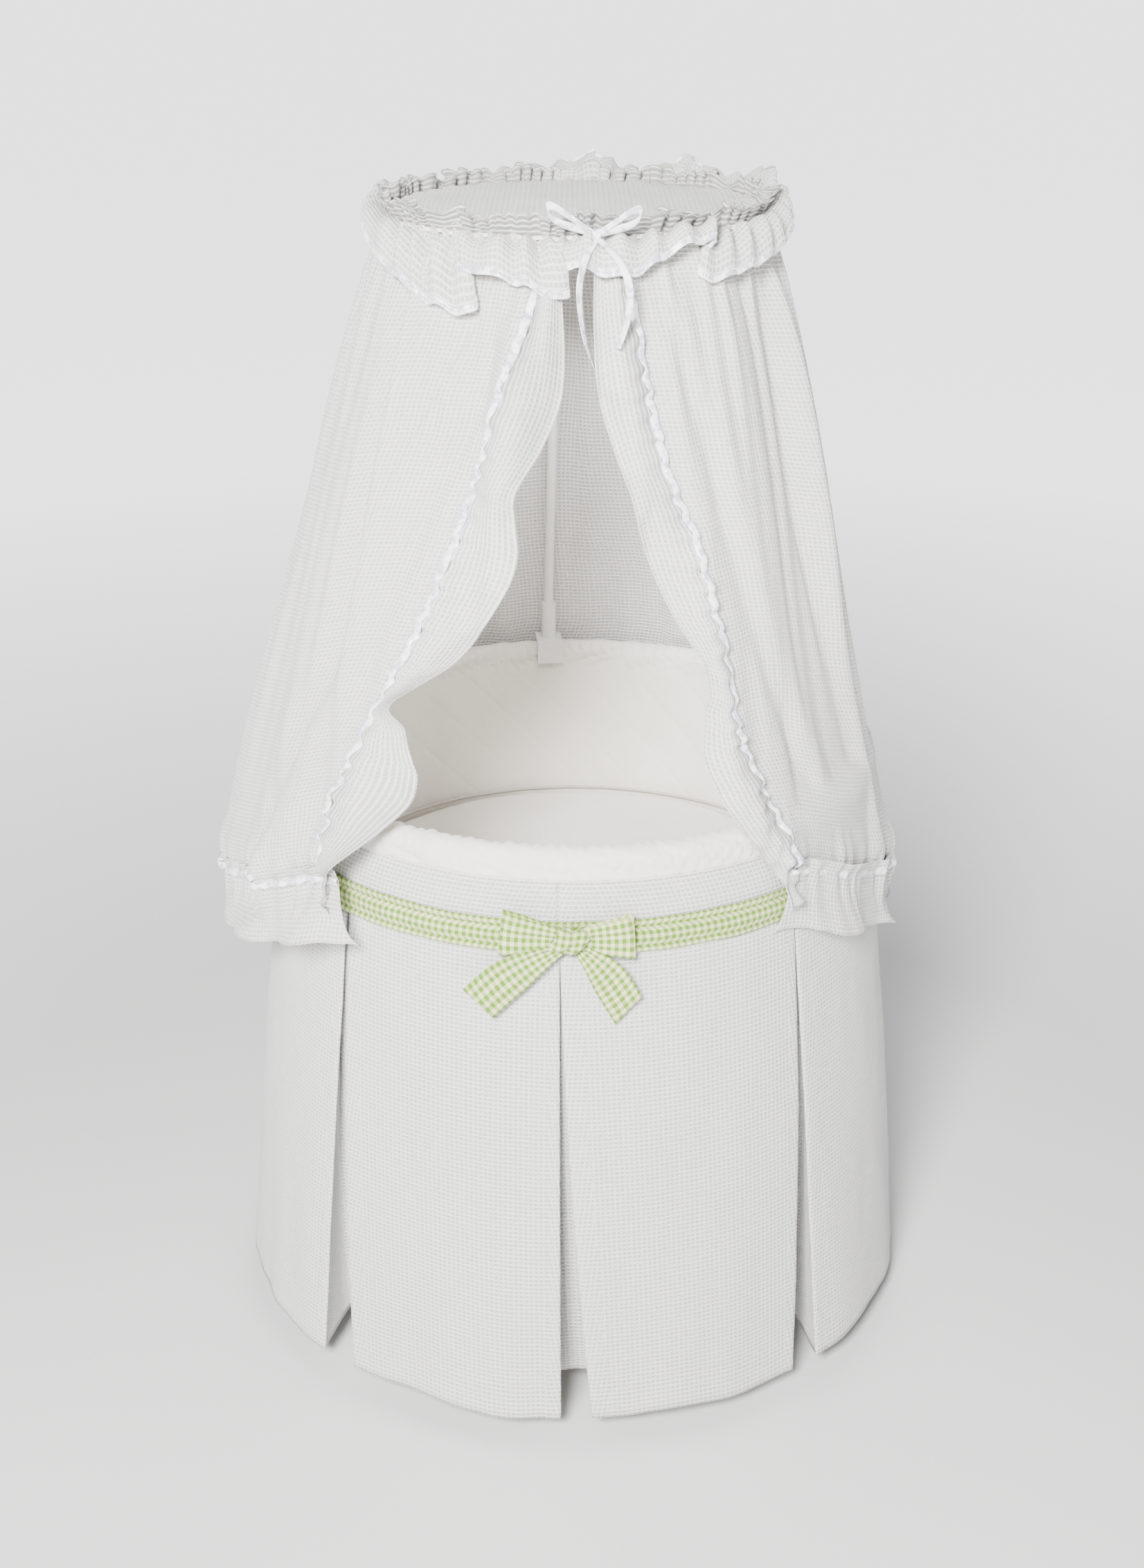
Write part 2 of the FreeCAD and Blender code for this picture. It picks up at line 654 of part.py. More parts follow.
def bow_loop(name, side, spot, reach, near_half, far_half, half_depth):
    """One closed loop of a bow: a wedge that widens from the knot to its end."""
    loop = doc.addObject("Part::Wedge", name)
    loop.Xmin, loop.Xmax, loop.X2min, loop.X2max = -near_half, near_half, -far_half, far_half
    loop.Ymin, loop.Ymax = 0, reach
    loop.Zmin, loop.Zmax, loop.Z2min, loop.Z2max = -half_depth, half_depth, -half_depth, half_depth
    return held_at(loop, spot, Rotation(Vector(0, 0, 1), Vector(side, 0, 0), Vector(0, side, 0), "XYZ"))


# ---------------------------------------------------------------- canopy support


def pole_placement():
    """The pole's slanted stretch as a placement: its foot at the bend, its Z along the tube."""
    foot = Vector(0, size("HoopRadius"), size("PoleBendHeight"))
    head = Vector(0, size("PoleTopReach"), size("PoleTopHeight"))
    return Placement(foot, Rotation(Vector(0, 0, 1), head - foot)), (head - foot).Length


def make_clamp():
    """The rim clamp: a lip inside the liner, a bridge over it, an outer plate and the pole's socket."""
    half, inner, outer = "17.5", "LinerInner - 6.2", "LinerInner + LinerFoldRadius * 2 + 1.2"
    over, screw = "LinerFoldHeight + LinerFoldRadius + 1", "SeamHeight - 11"
    lip = box("clamp_lip", "35", "5", "33", f"0 - {half}", inner, f"{over} - 27")
    bridge = box("clamp_bridge", "35", f"{outer} + 3.5 - ( {inner} )", "6", f"0 - {half}", inner, over)
    plate = box("clamp_plate", "35", "3.5", "65", f"0 - {half}", outer, f"{over} + 6 - 65")
    socket = cylinder("clamp_socket", "10", "50", y="HoopRadius", z=f"{over} + 5.5")
    bore = cylinder("clamp_bore", "PoleDia / 2 + 0.1", "60", y="HoopRadius", z="PoleFoot - 0.3")
    hole = along_y(cylinder("clamp_screw_hole", "2.6", "8", "0", f"{outer} - 2", screw))
    clamp = cut("clamp_cut", fuse("clamp_fuse", lip, bridge, plate, socket), bore, hole)
    node(turned(clamp, size("PoleTurn")), "pole_clamp")
    shank = along_y(cylinder("screw_shank", "2.5", "12", "0", f"{outer} - 1", screw))
    knob = along_y(cylinder("screw_knob", "10", "8", "0", f"{outer} + 4.5", screw))
    grips = []
    for i in range(8):
        across = 11 * math.cos(math.radians(45 * i))
        up = 11 * math.sin(math.radians(45 * i))
        grips.append(along_y(cylinder(f"knob_grip{i}", "2.2", "10", f"{across:.3f}", f"{outer} + 3.5",
                                      f"{screw} - 20 + {20 + up:.3f}")))
    screw_part = cut("screw_cut", fuse("screw_fuse", shank, knob), *grips)
    node(turned(screw_part, size("PoleTurn")), "clamp_screw")


def slant():
    """The frame of the pole's slanted stretch, its Z along the tube from the bend, and its length."""
    foot = Vector(0, size("HoopRadius"), size("PoleBendHeight"))
    head = Vector(0, size("PoleTopReach"), size("PoleTopHeight"))
    return Placement(foot, Rotation(Vector(0, 0, 1), head - foot)), (head - foot).Length


def swept(name, radius):
    """A rod of one radius along the lower pole's line: upright, bent, then slanted to the joint."""
    frame, _ = slant()
    foot = Vector(0, size("HoopRadius"), size("PoleFoot"))
    along = frame.Rotation.multVec(Vector(0, 0, 1))
    bend = frame.Base
    reach = 11.0
    before, after = bend - Vector(0, 0, reach), bend + along * reach
    turn = math.acos(along.z)
    centre_distance = reach / math.tan(turn / 2)
    middle = before + Vector(0, -centre_distance * (1 - math.cos(turn / 2)), centre_distance * math.sin(turn / 2))
    end = bend + along * size("PoleJoint")
    path = Part.Wire([
        Part.makeLine(foot, before),
        Part.Arc(before, middle, after).toShape(),
        Part.makeLine(after, end),
    ])
    disc = Part.Wire(Part.makeCircle(radius, foot, Vector(0, 0, 1)))
    rod = doc.addObject("Part::Feature", name)
    rod.Shape = path.makePipeShell([disc], True, False)
    return rod


def make_pole():
    """The canopy pole in two lengths, the upper one's swaged foot inside the lower one's head."""
    lower = cut("pole_lower_cut", swept("pole_rod", size("PoleDia") / 2),
                swept("pole_hollow", size("PoleDia") / 2 - size("PoleWall")))
    node(turned(lower, size("PoleTurn")), "canopy_pole_lower")
    frame, length = slant()
    rod = cylinder("upper_rod", "PoleDia / 2", f"{length:.4f} - PoleJoint", z="PoleJoint")
    plug = cylinder("upper_plug", "PoleDia / 2 - PoleWall - 0.05", "41", z="PoleJoint - 40")
    hollow = cylinder("upper_hollow", "PoleDia / 2 - PoleWall * 2", f"{length:.4f}", z="PoleJoint - 60")
    upper = cut("pole_upper_cut", fuse("upper_fuse", rod, plug), hollow)
    upper.Placement = frame
    node(turned(upper, size("PoleTurn")), "canopy_pole_upper")
    sleeve = cylinder("hub_sleeve", "PoleDia / 2 + 2.2", "40", z=f"{length:.4f} - 34")
    bore = cylinder("hub_bore", "PoleDia / 2 + 0.05", "35", z=f"{length:.4f} - 35")
    hub = cut("hub_cut", sleeve, bore)
    hub.Placement = frame
    hoop = bind(doc.addObject("Part::Torus", "canopy_ring"), Radius1="CanopyHoopRadius",
                Radius2="CanopyHoopSection")
    place(hoop, z="CanopyHoopHeight")
    node(fuse("canopy_hoop_fuse", hoop, turned(hub, size("PoleTurn"))), "canopy_hoop")


# ---------------------------------------------------------------- canopy cloth


def half_space(name, side):
    """Everything on one side of the middle plane."""
    return box(name, "600", "1200", "1000", "0" if side > 0 else "-600", "-600", "FlounceHemHeight - 50")


def front_zone(name, spare_foot, spare_top):
    """The zone of the front opening, widened by a margin that may differ from foot to top."""
    stations = (
        ("FlounceHemHeight - 10", "OpeningFoot", spare_foot),
        ("DrapeRimHeight", "OpeningRim", spare_foot),
        ("OpeningMiddleHeight", "OpeningMiddle", spare_foot),
        ("DrapeTopHeight + 10", "OpeningTop", spare_top),
    )
    slabs = [
        prism(f"{name}_{i}", f"{low[1]} + {low[2]}", f"{high[1]} + {high[2]}", "600", low[0], high[0])
        for i, (low, high) in enumerate(zip(stations, stations[1:]))
    ]
    return fuse(name, *slabs)


def back_zone(name, spare):
    """A wedge behind the basket, widening towards +Y."""
    part = doc.addObject("Part::Wedge", name)
    near, far = f"1 + {spare}", f"600 * BackSpread + {spare}"
    bind(part, Xmin=f"0 - ( {near} )", Xmax=near, X2min=f"0 - ( {far} )", X2max=far)
    bind(part, Ymin="0", Ymax="600", Zmin="0", Z2min="0")
    bind(part, Zmax="DrapeTopHeight - FlounceHemHeight + 20", Z2max="DrapeTopHeight - FlounceHemHeight + 20")
    return place(part, z="FlounceHemHeight - 10")


def make_drape():
    """The drape round the basket: back, two sides, and the ruffled strips along the front opening."""
    shell = fuse(
        "drape_shell",
        ring("drape_upper", "DrapeRimRadius", "DrapeTopRadius", "DrapeThick", "DrapeRimHeight",
             "DrapeTopHeight"),
        ring("drape_lower", "FlounceTopRadius", "DrapeRimRadius", "DrapeThick", "FlounceTopHeight",
             "DrapeRimHeight"),
        ring("drape_flounce", "FlounceHemRadius", "FlounceTopRadius", "DrapeThick", "FlounceHemHeight",
             "FlounceTopHeight"),
    )
    opening = front_zone("opening", "0", "0")
    ruffles = front_zone("ruffles", "RuffleWidth", "RuffleTopWidth")
    past_ruffles = front_zone("past_ruffles", "( RuffleWidth + DrapeGap )", "( RuffleTopWidth + DrapeGap )")
    node(common("drape_back_common", shell, back_zone("back", "0")), "drape_back")
    sides = cut("drape_sides", shell, past_ruffles, back_zone("past_back", "DrapeGap"))
    strips = cut("drape_strips", common("drape_front", shell, ruffles), opening)
    for word, start in (("left", "-600"), ("right", "0")):
        for name, cloth in (("drape", sides), ("drape_ruffle", strips)):
            half = box(f"{name}_half_{word}", "600", "1200", "1000", start, "-600", "FlounceHemHeight - 50")
            node(common(f"{name}_{word}_common", cloth, half), f"{name}_{word}")


def make_top():
    """The flat top of the canopy, its gathered valance and the ribbon bow in front."""
    node(cylinder("top_disc", "TopCoverRadius", "4", z="CanopyHoopHeight + CanopyHoopSection + 0.8"),
         "canopy_top")
    node(ring("valance_ring", "ValanceHemRadius", "ValanceTopRadius", "DrapeThick", "ValanceHemHeight",
              "ValanceTopHeight"), "canopy_valance")
    spot = Vector(21, -10 - size("ValanceTopRadius"), size("CanopyHoopHeight") + 6)
    knot = box("ribbon_knot", "13", "10", "13")
    shapes = [held_at(knot, spot, Rotation(), Vector(-6.5, -10, -6.5))]
    for side in (-1, 1):
        shapes.append(bow_loop(f"ribbon_loop{side}", side, spot + Vector(0, -5, 4), 46, 4, 11, 4))
    lean = math.degrees(math.atan2(size("ValanceHemRadius") - size("ValanceTopRadius"),
                                   size("ValanceTopHeight") - size("ValanceHemHeight")))
    for side, length in ((-1, 130), (1, 108)):
        tail = box(f"ribbon_tail{side}", "11", "2", f"{length}")
        turn = Rotation(Vector(1, 0, 0), -lean).multiply(Rotation(Vector(0, 1, 0), -side * 6.0))
        shapes.append(held_at(tail, spot + Vector(side * 3, -6, 0), turn, Vector(-5.5, -1, -length)))
    node(fuse("ribbon_fuse", *shapes), "ribbon_bow")


# ---------------------------------------------------------------- the whole


def build():
    for name, angle in CASTERS.items():
        make_leg(f"leg_{name}", angle)
    make_rail("cross_rail_lower", 45, False)
    make_rail("cross_rail_upper", 135, True)
    bolts = around("bolt", 4, 45, frame_bolt)
    node(group("bolts", bolts + around("nut", 4, 45, barrel_nut)), "frame_bolts_and_nuts")
    node(group("sockets", around("socket", 4, 45, leg_socket)), "leg_sockets")
    make_shelf()
    node(group("brackets", around("bracket", 4, 45, shelf_bracket)), "shelf_brackets")
    screws = around("screw", 4, 45, bracket_screw)
    node(group("screws", screws + around("band_screw", 8, 22.5, band_screw)), "wood_screws")
    for name, angle in CASTERS.items():
        make_fork(f"caster_fork_{name}", angle)
        make_wheel(name, angle)
        if name in BRAKED:
            make_brake(name, angle)
    make_board()
    make_wall()
    make_band()
    make_hoop()
    make_pad()
    make_liner()
    make_skirt()
    make_sash()
    make_clamp()
    make_pole()
    make_drape()
    make_top()


def check():
    """Stops before anything is written if a feature failed or a sub-part isn't sound."""
    for item in doc.Objects:
        if {"Invalid", "Error"} & set(item.State):
            raise RuntimeError(f"{item.Name} ({item.Label}) failed: {item.State}")
    for part in nodes:
        shape = part.Shape
        if shape.isNull() or not shape.isValid() or not shape.Solids:
            raise RuntimeError(f"{part.Label} isn't a valid solid")
        if min(solid.Volume for solid in shape.Solids) < TOLERANCE:
            raise RuntimeError(f"{part.Label} holds an empty solid")


build()
doc.recompute()
check()
os.makedirs("parts", exist_ok=True)
for part in nodes:
    part.Shape.exportStep(f"parts/{part.Label}.step")
print(len(nodes), "nodes")
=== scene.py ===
"""Round bassinet with a draped canopy: the cloth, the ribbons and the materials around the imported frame."""

import json
import math
from math import cos, exp, hypot, pi, sin

import bmesh
import bpy
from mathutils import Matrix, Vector, noise


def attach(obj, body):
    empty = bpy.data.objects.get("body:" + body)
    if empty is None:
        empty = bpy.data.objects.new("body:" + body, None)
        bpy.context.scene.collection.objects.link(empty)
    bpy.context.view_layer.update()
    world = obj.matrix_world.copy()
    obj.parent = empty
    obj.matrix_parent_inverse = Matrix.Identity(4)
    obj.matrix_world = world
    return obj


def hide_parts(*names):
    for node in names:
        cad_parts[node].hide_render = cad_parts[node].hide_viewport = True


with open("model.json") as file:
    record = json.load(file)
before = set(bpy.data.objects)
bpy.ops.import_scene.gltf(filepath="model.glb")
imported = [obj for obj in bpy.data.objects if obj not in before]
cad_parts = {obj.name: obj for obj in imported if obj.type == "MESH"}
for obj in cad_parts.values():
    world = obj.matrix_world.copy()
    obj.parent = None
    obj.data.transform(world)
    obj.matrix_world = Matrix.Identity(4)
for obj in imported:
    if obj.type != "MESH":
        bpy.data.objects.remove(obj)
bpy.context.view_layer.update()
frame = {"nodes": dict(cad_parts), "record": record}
TAU = 2 * pi
CLOTH_THICK = 0.0011
RIBBON_WIDTH = 0.0095
RIBBON_THICK = 0.0004


# ---- numbers and shapes


def rad(degrees):
    return math.radians(degrees)


def mix(a, b, t):
    return a + (b - a) * t


def ease(low, high, x):
    """0 below low, 1 above high, smooth between them."""
    t = min(max((x - low) / (high - low), 0.0), 1.0)
    return t * t * (3 - 2 * t)


def bump(x, middle, width):
    """A rounded hill of height 1."""
    return exp(-((x - middle) / width) ** 2)


def wavy(a, b, seed):
    """Smooth noise from -1 to 1 over two numbers."""
    return noise.noise(Vector((a, b, seed * 7.31)))


def through(*stations):
    """A smooth curve through rows of (x, value), held level past its ends, read from a fine table."""
    xs = [row[0] for row in stations]
    ys = [row[1] for row in stations]
    last, steps = len(xs) - 1, 600
    slopes = [
        (ys[min(i + 1, last)] - ys[max(i - 1, 0)]) / (xs[min(i + 1, last)] - xs[max(i - 1, 0)])
        for i in range(last + 1)
    ]
    low, span_all = xs[0], xs[-1] - xs[0]
    table = []
    for n in range(steps + 1):
        x = low + span_all * n / steps
        i = next(k for k in range(last) if x <= xs[k + 1] or k == last - 1)
        span = xs[i + 1] - xs[i]
        t = (x - xs[i]) / span
        table.append(
            (2 * t**3 - 3 * t * t + 1) * ys[i]
            + (t**3 - 2 * t * t + t) * span * slopes[i]
            + (3 * t * t - 2 * t**3) * ys[i + 1]
            + (t**3 - t * t) * span * slopes[i + 1]
        )

    def value(x):
        place = min(max((x - low) / span_all, 0.0), 1.0) * steps
        n = min(int(place), steps - 1)
        return table[n] + (table[n + 1] - table[n]) * (place - n)

    return value


def polar(theta, radius, z):
    """A point at an angle from the front, positive towards +X."""
    return Vector((sin(theta) * radius, -cos(theta) * radius, z))


def show(thing):
    """Puts a new object in the scene."""
    bpy.context.scene.collection.objects.link(thing)


def put(name, mesh, material, body):
    """A finished mesh as a piece on a body."""
    piece = bpy.data.objects.new(name, mesh)
    show(piece)
    mesh.materials.append(material)
    for face in mesh.polygons:
        face.use_smooth = True
    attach(piece, body)
    return piece


def cloth(name, rows, material, body, middles=(0.5,), closed=False, thick=0.0012):
    """A sheet of cloth through rows of points. Its weave coordinates are lengths along the cloth, in
    metres, counted from the nearest of the middle columns, so that each gore keeps its own grain."""
    high, wide = len(rows), len(rows[0])
    lengths = []
    for row in rows:
        run = [0.0]
        for i in range(1, wide + (1 if closed else 0)):
            run.append(run[-1] + (row[i % wide] - row[i - 1]).length)
        lengths.append(run)
    down = [0.0]
    for j in range(1, high):
        step = sum((rows[j][i] - rows[j - 1][i]).length for i in range(0, wide, 4)) / len(range(0, wide, 4))
        down.append(down[-1] + step)
    centres = [round(m * (len(lengths[0]) - 1)) for m in middles]
    verts = [p for row in rows for p in row]
    faces, corners = [], []
    for j in range(high - 1):
        for i in range(wide if closed else wide - 1):
            k = (i + 1) % wide
            faces.append((j * wide + i, (j + 1) * wide + i, (j + 1) * wide + k, j * wide + k))
            centre = min(centres, key=lambda c: abs(i + 0.5 - c))
            for jj, ii in ((j, i), (j + 1, i), (j + 1, i + 1), (j, i + 1)):
                corners.append((lengths[jj][ii] - lengths[jj][centre], -down[jj]))
    mesh = bpy.data.meshes.new(name)
    mesh.from_pydata(verts, [], faces)
    layer = mesh.uv_layers.new(name="weave")
    for corner, uv in zip(layer.data, corners):
        corner.uv = uv
    piece = put(name, mesh, material, body)
    if thick:
        shell = piece.modifiers.new("thickness", "SOLIDIFY")
        shell.thickness, shell.offset = thick, 0.0
    return piece


def band(name, centres, acrosses, material, body, columns=5, crown=0.0006, thick=0.0006):
    """A ribbon along a line: centre points, and the vector across the ribbon at each."""
    rows = []
    for k in range(columns):
        side = k / (columns - 1) - 0.5
        row = []
        for i, (centre, across) in enumerate(zip(centres, acrosses)):
            ahead = centres[min(i + 1, len(centres) - 1)] - centres[max(i - 1, 0)]
            out = across.cross(ahead).normalized()
            row.append(centre + across * side + out * crown * (1 - 4 * side * side))
        rows.append(row)
    return cloth(name, rows, material, body, middles=(0.0,), thick=thick)


# ---- materials


class Nodes:
    """Builds a material's nodes by short calls."""

    def __init__(self, name, colour, roughness, metallic=0.0, sheen=0.0, coat=0.0, glow=0.0):
        self.material = bpy.data.materials.new(name)
        self.material.use_nodes = True
        self.tree = self.material.node_tree
        self.shader = self.tree.nodes["Principled BSDF"]
        self.colour = colour
        for key, value in (
            ("Base Color", (*colour, 1)), ("Roughness", roughness), ("Metallic", metallic),
            ("Sheen Weight", sheen), ("Sheen Roughness", 0.5), ("Coat Weight", coat),
            ("Coat Roughness", 0.2), ("Subsurface Weight", glow),
            ("Subsurface Radius", (1.0, 0.95, 0.88)), ("Subsurface Scale", 0.004),
        ):
            self.shader.inputs[key].default_value = value

    def link(self, source, target):
        if isinstance(source, (int, float)):
            target.default_value = source
        else:
            self.tree.links.new(source, target)

    def add(self, kind):
        return self.tree.nodes.new("ShaderNode" + kind)

    def math(self, operation, a, b=0.0):
        node = self.add("Math")
        node.operation = operation
        self.link(a, node.inputs[0])
        self.link(b, node.inputs[1])
        return node.outputs[0]

    def weave(self):
        """The cloth's own coordinates in metres, as two numbers."""
        uv = self.add("UVMap")
        uv.uv_map = "weave"
        split = self.add("SeparateXYZ")
        self.link(uv.outputs[0], split.inputs[0])
        return split.outputs[0], split.outputs[1]

    def place(self):
        """The point's position on the object in metres."""
        return self.add("TexCoord").outputs["Object"]

    def axes(self):
        split = self.add("SeparateXYZ")
        self.link(self.place(), split.inputs[0])
        return split.outputs

    def noise(self, scale, detail=3.0, stretch=(1, 1, 1), roughness=0.5):
        shift = self.add("Mapping")
        shift.inputs["Scale"].default_value = stretch
        self.link(self.place(), shift.inputs[0])
        node = self.add("TexNoise")
        node.inputs["Scale"].default_value = scale
        node.inputs["Detail"].default_value = detail
        node.inputs["Roughness"].default_value = roughness
        self.link(shift.outputs[0], node.inputs["Vector"])
        return node.outputs[0]

    def ramp(self, value, low, high, a=0.0, b=1.0):
        node = self.add("MapRange")
        self.link(value, node.inputs["Value"])
        for key, number in (("From Min", low), ("From Max", high), ("To Min", a), ("To Max", b)):
            node.inputs[key].default_value = number
        return node.outputs[0]

    def wave(self, value, period):
        """A triangle wave from 0 to 1."""
        turn = self.math("FRACT", self.math("MULTIPLY", value, 1.0 / period))
        return self.math("MULTIPLY", self.math("ABSOLUTE", self.math("SUBTRACT", turn, 0.5)), 2.0)

    def tint(self, factor, colour, base=None):
        """Mixes a colour over the last one by a factor."""
        node = self.add("Mix")
        node.data_type = "RGBA"
        self.link(factor, node.inputs["Factor"])
        if base is None:
            node.inputs[6].default_value = (*self.colour, 1)
        else:
            self.link(base, node.inputs[6])
        node.inputs[7].default_value = (*colour, 1)
        return node.outputs[2]

    def paint(self, colour):
        self.link(colour, self.shader.inputs["Base Color"])

    def rough(self, value):
        self.link(value, self.shader.inputs["Roughness"])

    def relief(self, height, depth, under=None):
        """Bumps of a depth in metres, on top of earlier bumps."""
        node = self.add("Bump")
        node.inputs["Distance"].default_value = depth
        node.inputs["Strength"].default_value = 1.0
        self.link(height, node.inputs["Height"])
        if under is not None:
            self.link(under, node.inputs["Normal"])
        self.link(node.outputs[0], self.shader.inputs["Normal"])
        return node.outputs[0]


def waffle_cloth(name, colour, cell=0.006):
    """Cotton with a waffle weave: raised threads round square pits, whose centres are darkened with painted
    shade.
    """
    m = Nodes(name, colour, 0.88, sheen=0.25, glow=0.5)
    u, v = m.weave()
    ridge = m.math("MAXIMUM", m.math("MULTIPLY", m.wave(u, cell), 0.86), m.wave(v, cell * 0.92))
    pit = m.ramp(ridge, 0.35, 0.86)
    threads = m.math("ADD", m.wave(u, cell / 6), m.wave(v, cell / 6))
    mottled = m.tint(m.ramp(m.noise(9.0), 0.35, 0.75, 0.0, 0.22), tuple(c * 0.86 for c in colour))
    # The colour darkens in the centres of the pits, where the relief is low: painted shade.
    shade = m.math("MULTIPLY", m.math("SUBTRACT", 1.0, pit), 0.82)
    painted_pit_shade = tuple(c * k for c, k in zip(colour, (0.5, 0.49, 0.47)))
    m.paint(m.tint(shade, painted_pit_shade, mottled))
    under = m.relief(pit, 0.0011)
    m.relief(threads, 0.00008, under)
    return m.material


def plain_cloth(name, colour, shade, twill=0.0, depth=0.0002):
    """Plain or twilled cotton with faint mottling, and painted shade in the twill's grooves."""
    m = Nodes(name, colour, 0.85, sheen=0.3, glow=0.15)
    mottled = m.tint(m.ramp(m.noise(14.0, 5.0), 0.3, 0.75, 0.0, 0.6), shade)
    if twill:
        x, y, z = m.axes()
        line = m.wave(m.math("ADD", m.math("MULTIPLY", x, 0.8), m.math("ADD", y, z)), twill)
        # The twill's grooves, where the relief is low, are darkened in colour: painted shade.
        m.paint(m.tint(m.ramp(line, 0.1, 0.6, 0.6, 0.0), tuple(c * 0.72 for c in colour), mottled))
        m.relief(line, depth)
    else:
        m.paint(mottled)
        under = m.relief(m.noise(900.0, 2.0), depth)
        m.relief(m.noise(60.0, 4.0), 0.0012, under)
    return m.material


def gingham_cloth(name, pale, green, check=0.0043):
    """A two colour check: plain where both threads match, half tint where they cross."""
    m = Nodes(name, pale, 0.8, sheen=0.2)
    u, v = m.weave()
    stripes = [m.math("GREATER_THAN", m.wave(axis, check * 2), 0.5) for axis in (u, v)]
    both = m.math("MULTIPLY", m.math("ADD", *stripes), 0.5)
    tone = m.math("POWER", both, 0.85)
    tint = m.tint(tone, green)
    m.paint(m.tint(m.ramp(m.noise(40.0), 0.4, 0.8, 0.0, 0.18), tuple(c * 0.8 for c in green), tint))
    grain = m.wave(m.math("ADD", u, v), 0.0008)
    m.relief(grain, 0.00012)
    return m.material


def satin_ribbon(name, colour, shade):
    """Soft white satin with lilac shadows where it puckers."""
    m = Nodes(name, colour, 0.28, sheen=0.3)
    m.shader.inputs["Anisotropic"].default_value = 0.5
    m.paint(m.tint(m.ramp(m.noise(105.0, 1.0), 0.5, 0.58, 0.0, 0.9), shade))
    m.relief(m.noise(150.0, 1.0, (1, 1, 0.5)), 0.0018)
    return m.material


def painted(name, colour, grain, roughness=0.42):
    """Satin paint over wood, with the grain just showing and soft wear."""
    m = Nodes(name, colour, roughness, coat=0.15)
    lines = m.noise(26.0, 6.0, (1, 1, 0.06))
    m.paint(m.tint(m.ramp(lines, 0.35, 0.7, 0.0, 0.4), grain))
    m.rough(m.ramp(m.noise(60.0), 0.3, 0.7, roughness - 0.08, roughness + 0.12))
    m.relief(lines, 0.0004)
    return m.material


def board(name, colour, dark):
    """Clear lacquered birch board."""
    m = Nodes(name, colour, 0.45, coat=0.2)
    rings = m.noise(14.0, 8.0, (1, 0.12, 0.6), 0.65)
    m.paint(m.tint(m.ramp(rings, 0.35, 0.72), dark))
    m.rough(m.ramp(m.noise(70.0), 0.3, 0.7, 0.38, 0.55))
    m.relief(rings, 0.0003)
    return m.material


def plated(name, colour, roughness=0.3):
    """Zinc plated or powder coated steel."""
    m = Nodes(name, colour, roughness, metallic=1.0)
    m.rough(m.ramp(m.noise(90.0, 4.0), 0.3, 0.7, roughness - 0.07, roughness + 0.2))
    m.paint(m.tint(m.ramp(m.noise(35.0), 0.4, 0.7, 0.0, 0.4), tuple(c * 0.78 for c in colour)))
    m.relief(m.noise(700.0, 2.0), 0.00005)
    return m.material


def moulded(name, colour, roughness=0.5, depth=0.00012):
    """Moulded plastic, rubber or powder coat, with a fine grain."""
    m = Nodes(name, colour, roughness)
    m.paint(m.tint(m.ramp(m.noise(22.0, 4.0), 0.35, 0.75, 0.0, 0.5), tuple(c * 0.84 for c in colour)))
    m.rough(m.ramp(m.noise(110.0), 0.3, 0.7, roughness - 0.1, roughness + 0.15))
    m.relief(m.noise(1300.0, 2.0), depth)
    return m.material


WHITE = (0.8, 0.79, 0.775)
waffle = waffle_cloth("waffle_cotton", WHITE)
lining = plain_cloth("liner_cotton", (0.77, 0.735, 0.675), (0.68, 0.645, 0.58))
sheeting = plain_cloth("mattress_twill", (0.71, 0.675, 0.63), (0.64, 0.6, 0.555), twill=0.0046, depth=0.0006)
piping = plain_cloth("piping_cotton", (0.45, 0.42, 0.38), (0.38, 0.36, 0.33))
gingham = gingham_cloth("green_gingham", (0.66, 0.67, 0.35), (0.105, 0.235, 0.001))
satin = satin_ribbon("white_satin", (0.88, 0.87, 0.9), (0.5, 0.47, 0.57))
# A grey cloth for the drape's seam lines: painted shade along the seams.
seam_shade_strip = plain_cloth("seam_shadow", (0.6, 0.59, 0.57), (0.5, 0.49, 0.47))

FINISHES = {
    "white_oak": painted("white_painted_wood", (0.76, 0.75, 0.72), (0.64, 0.62, 0.58)),
    "birch_board": board("birch_board", (0.72, 0.58, 0.4), (0.52, 0.38, 0.23)),
    "zinc_steel": plated("zinc_steel", (0.62, 0.62, 0.64)),
    "white_plastic": moulded("white_plastic", (0.74, 0.74, 0.72)),
    "grey_plastic": moulded("grey_plastic", (0.17, 0.18, 0.19)),
    "grey_rubber": moulded("grey_rubber", (0.12, 0.12, 0.125), 0.75, 0.0003),
    "white_steel": moulded("white_powder_coat", (0.78, 0.77, 0.74), 0.38, 0.0001),
    "white_knob": moulded("white_knob", (0.78, 0.77, 0.75), 0.28),
}
slots = {part["node"]: part["material_slot"] for part in frame["record"]["subparts"]}
for node, thing in frame["nodes"].items():
    finish = FINISHES.get(slots[node])
    if finish:
        for place in thing.material_slots:
            place.material = finish

# ---- basket: liner, mattress, band, sash

QUILT_SIZE = 0.082
QUILTS_ROUND = 27


def quilt(along, down):
    """How deep a diamond quilting's stitched grooves are, from 0 between them to 1 on them."""
    lines = ((along + down) / QUILT_SIZE, (along - down) / QUILT_SIZE)
    return max(bump(value - round(value), 0, 0.03) for value in lines)


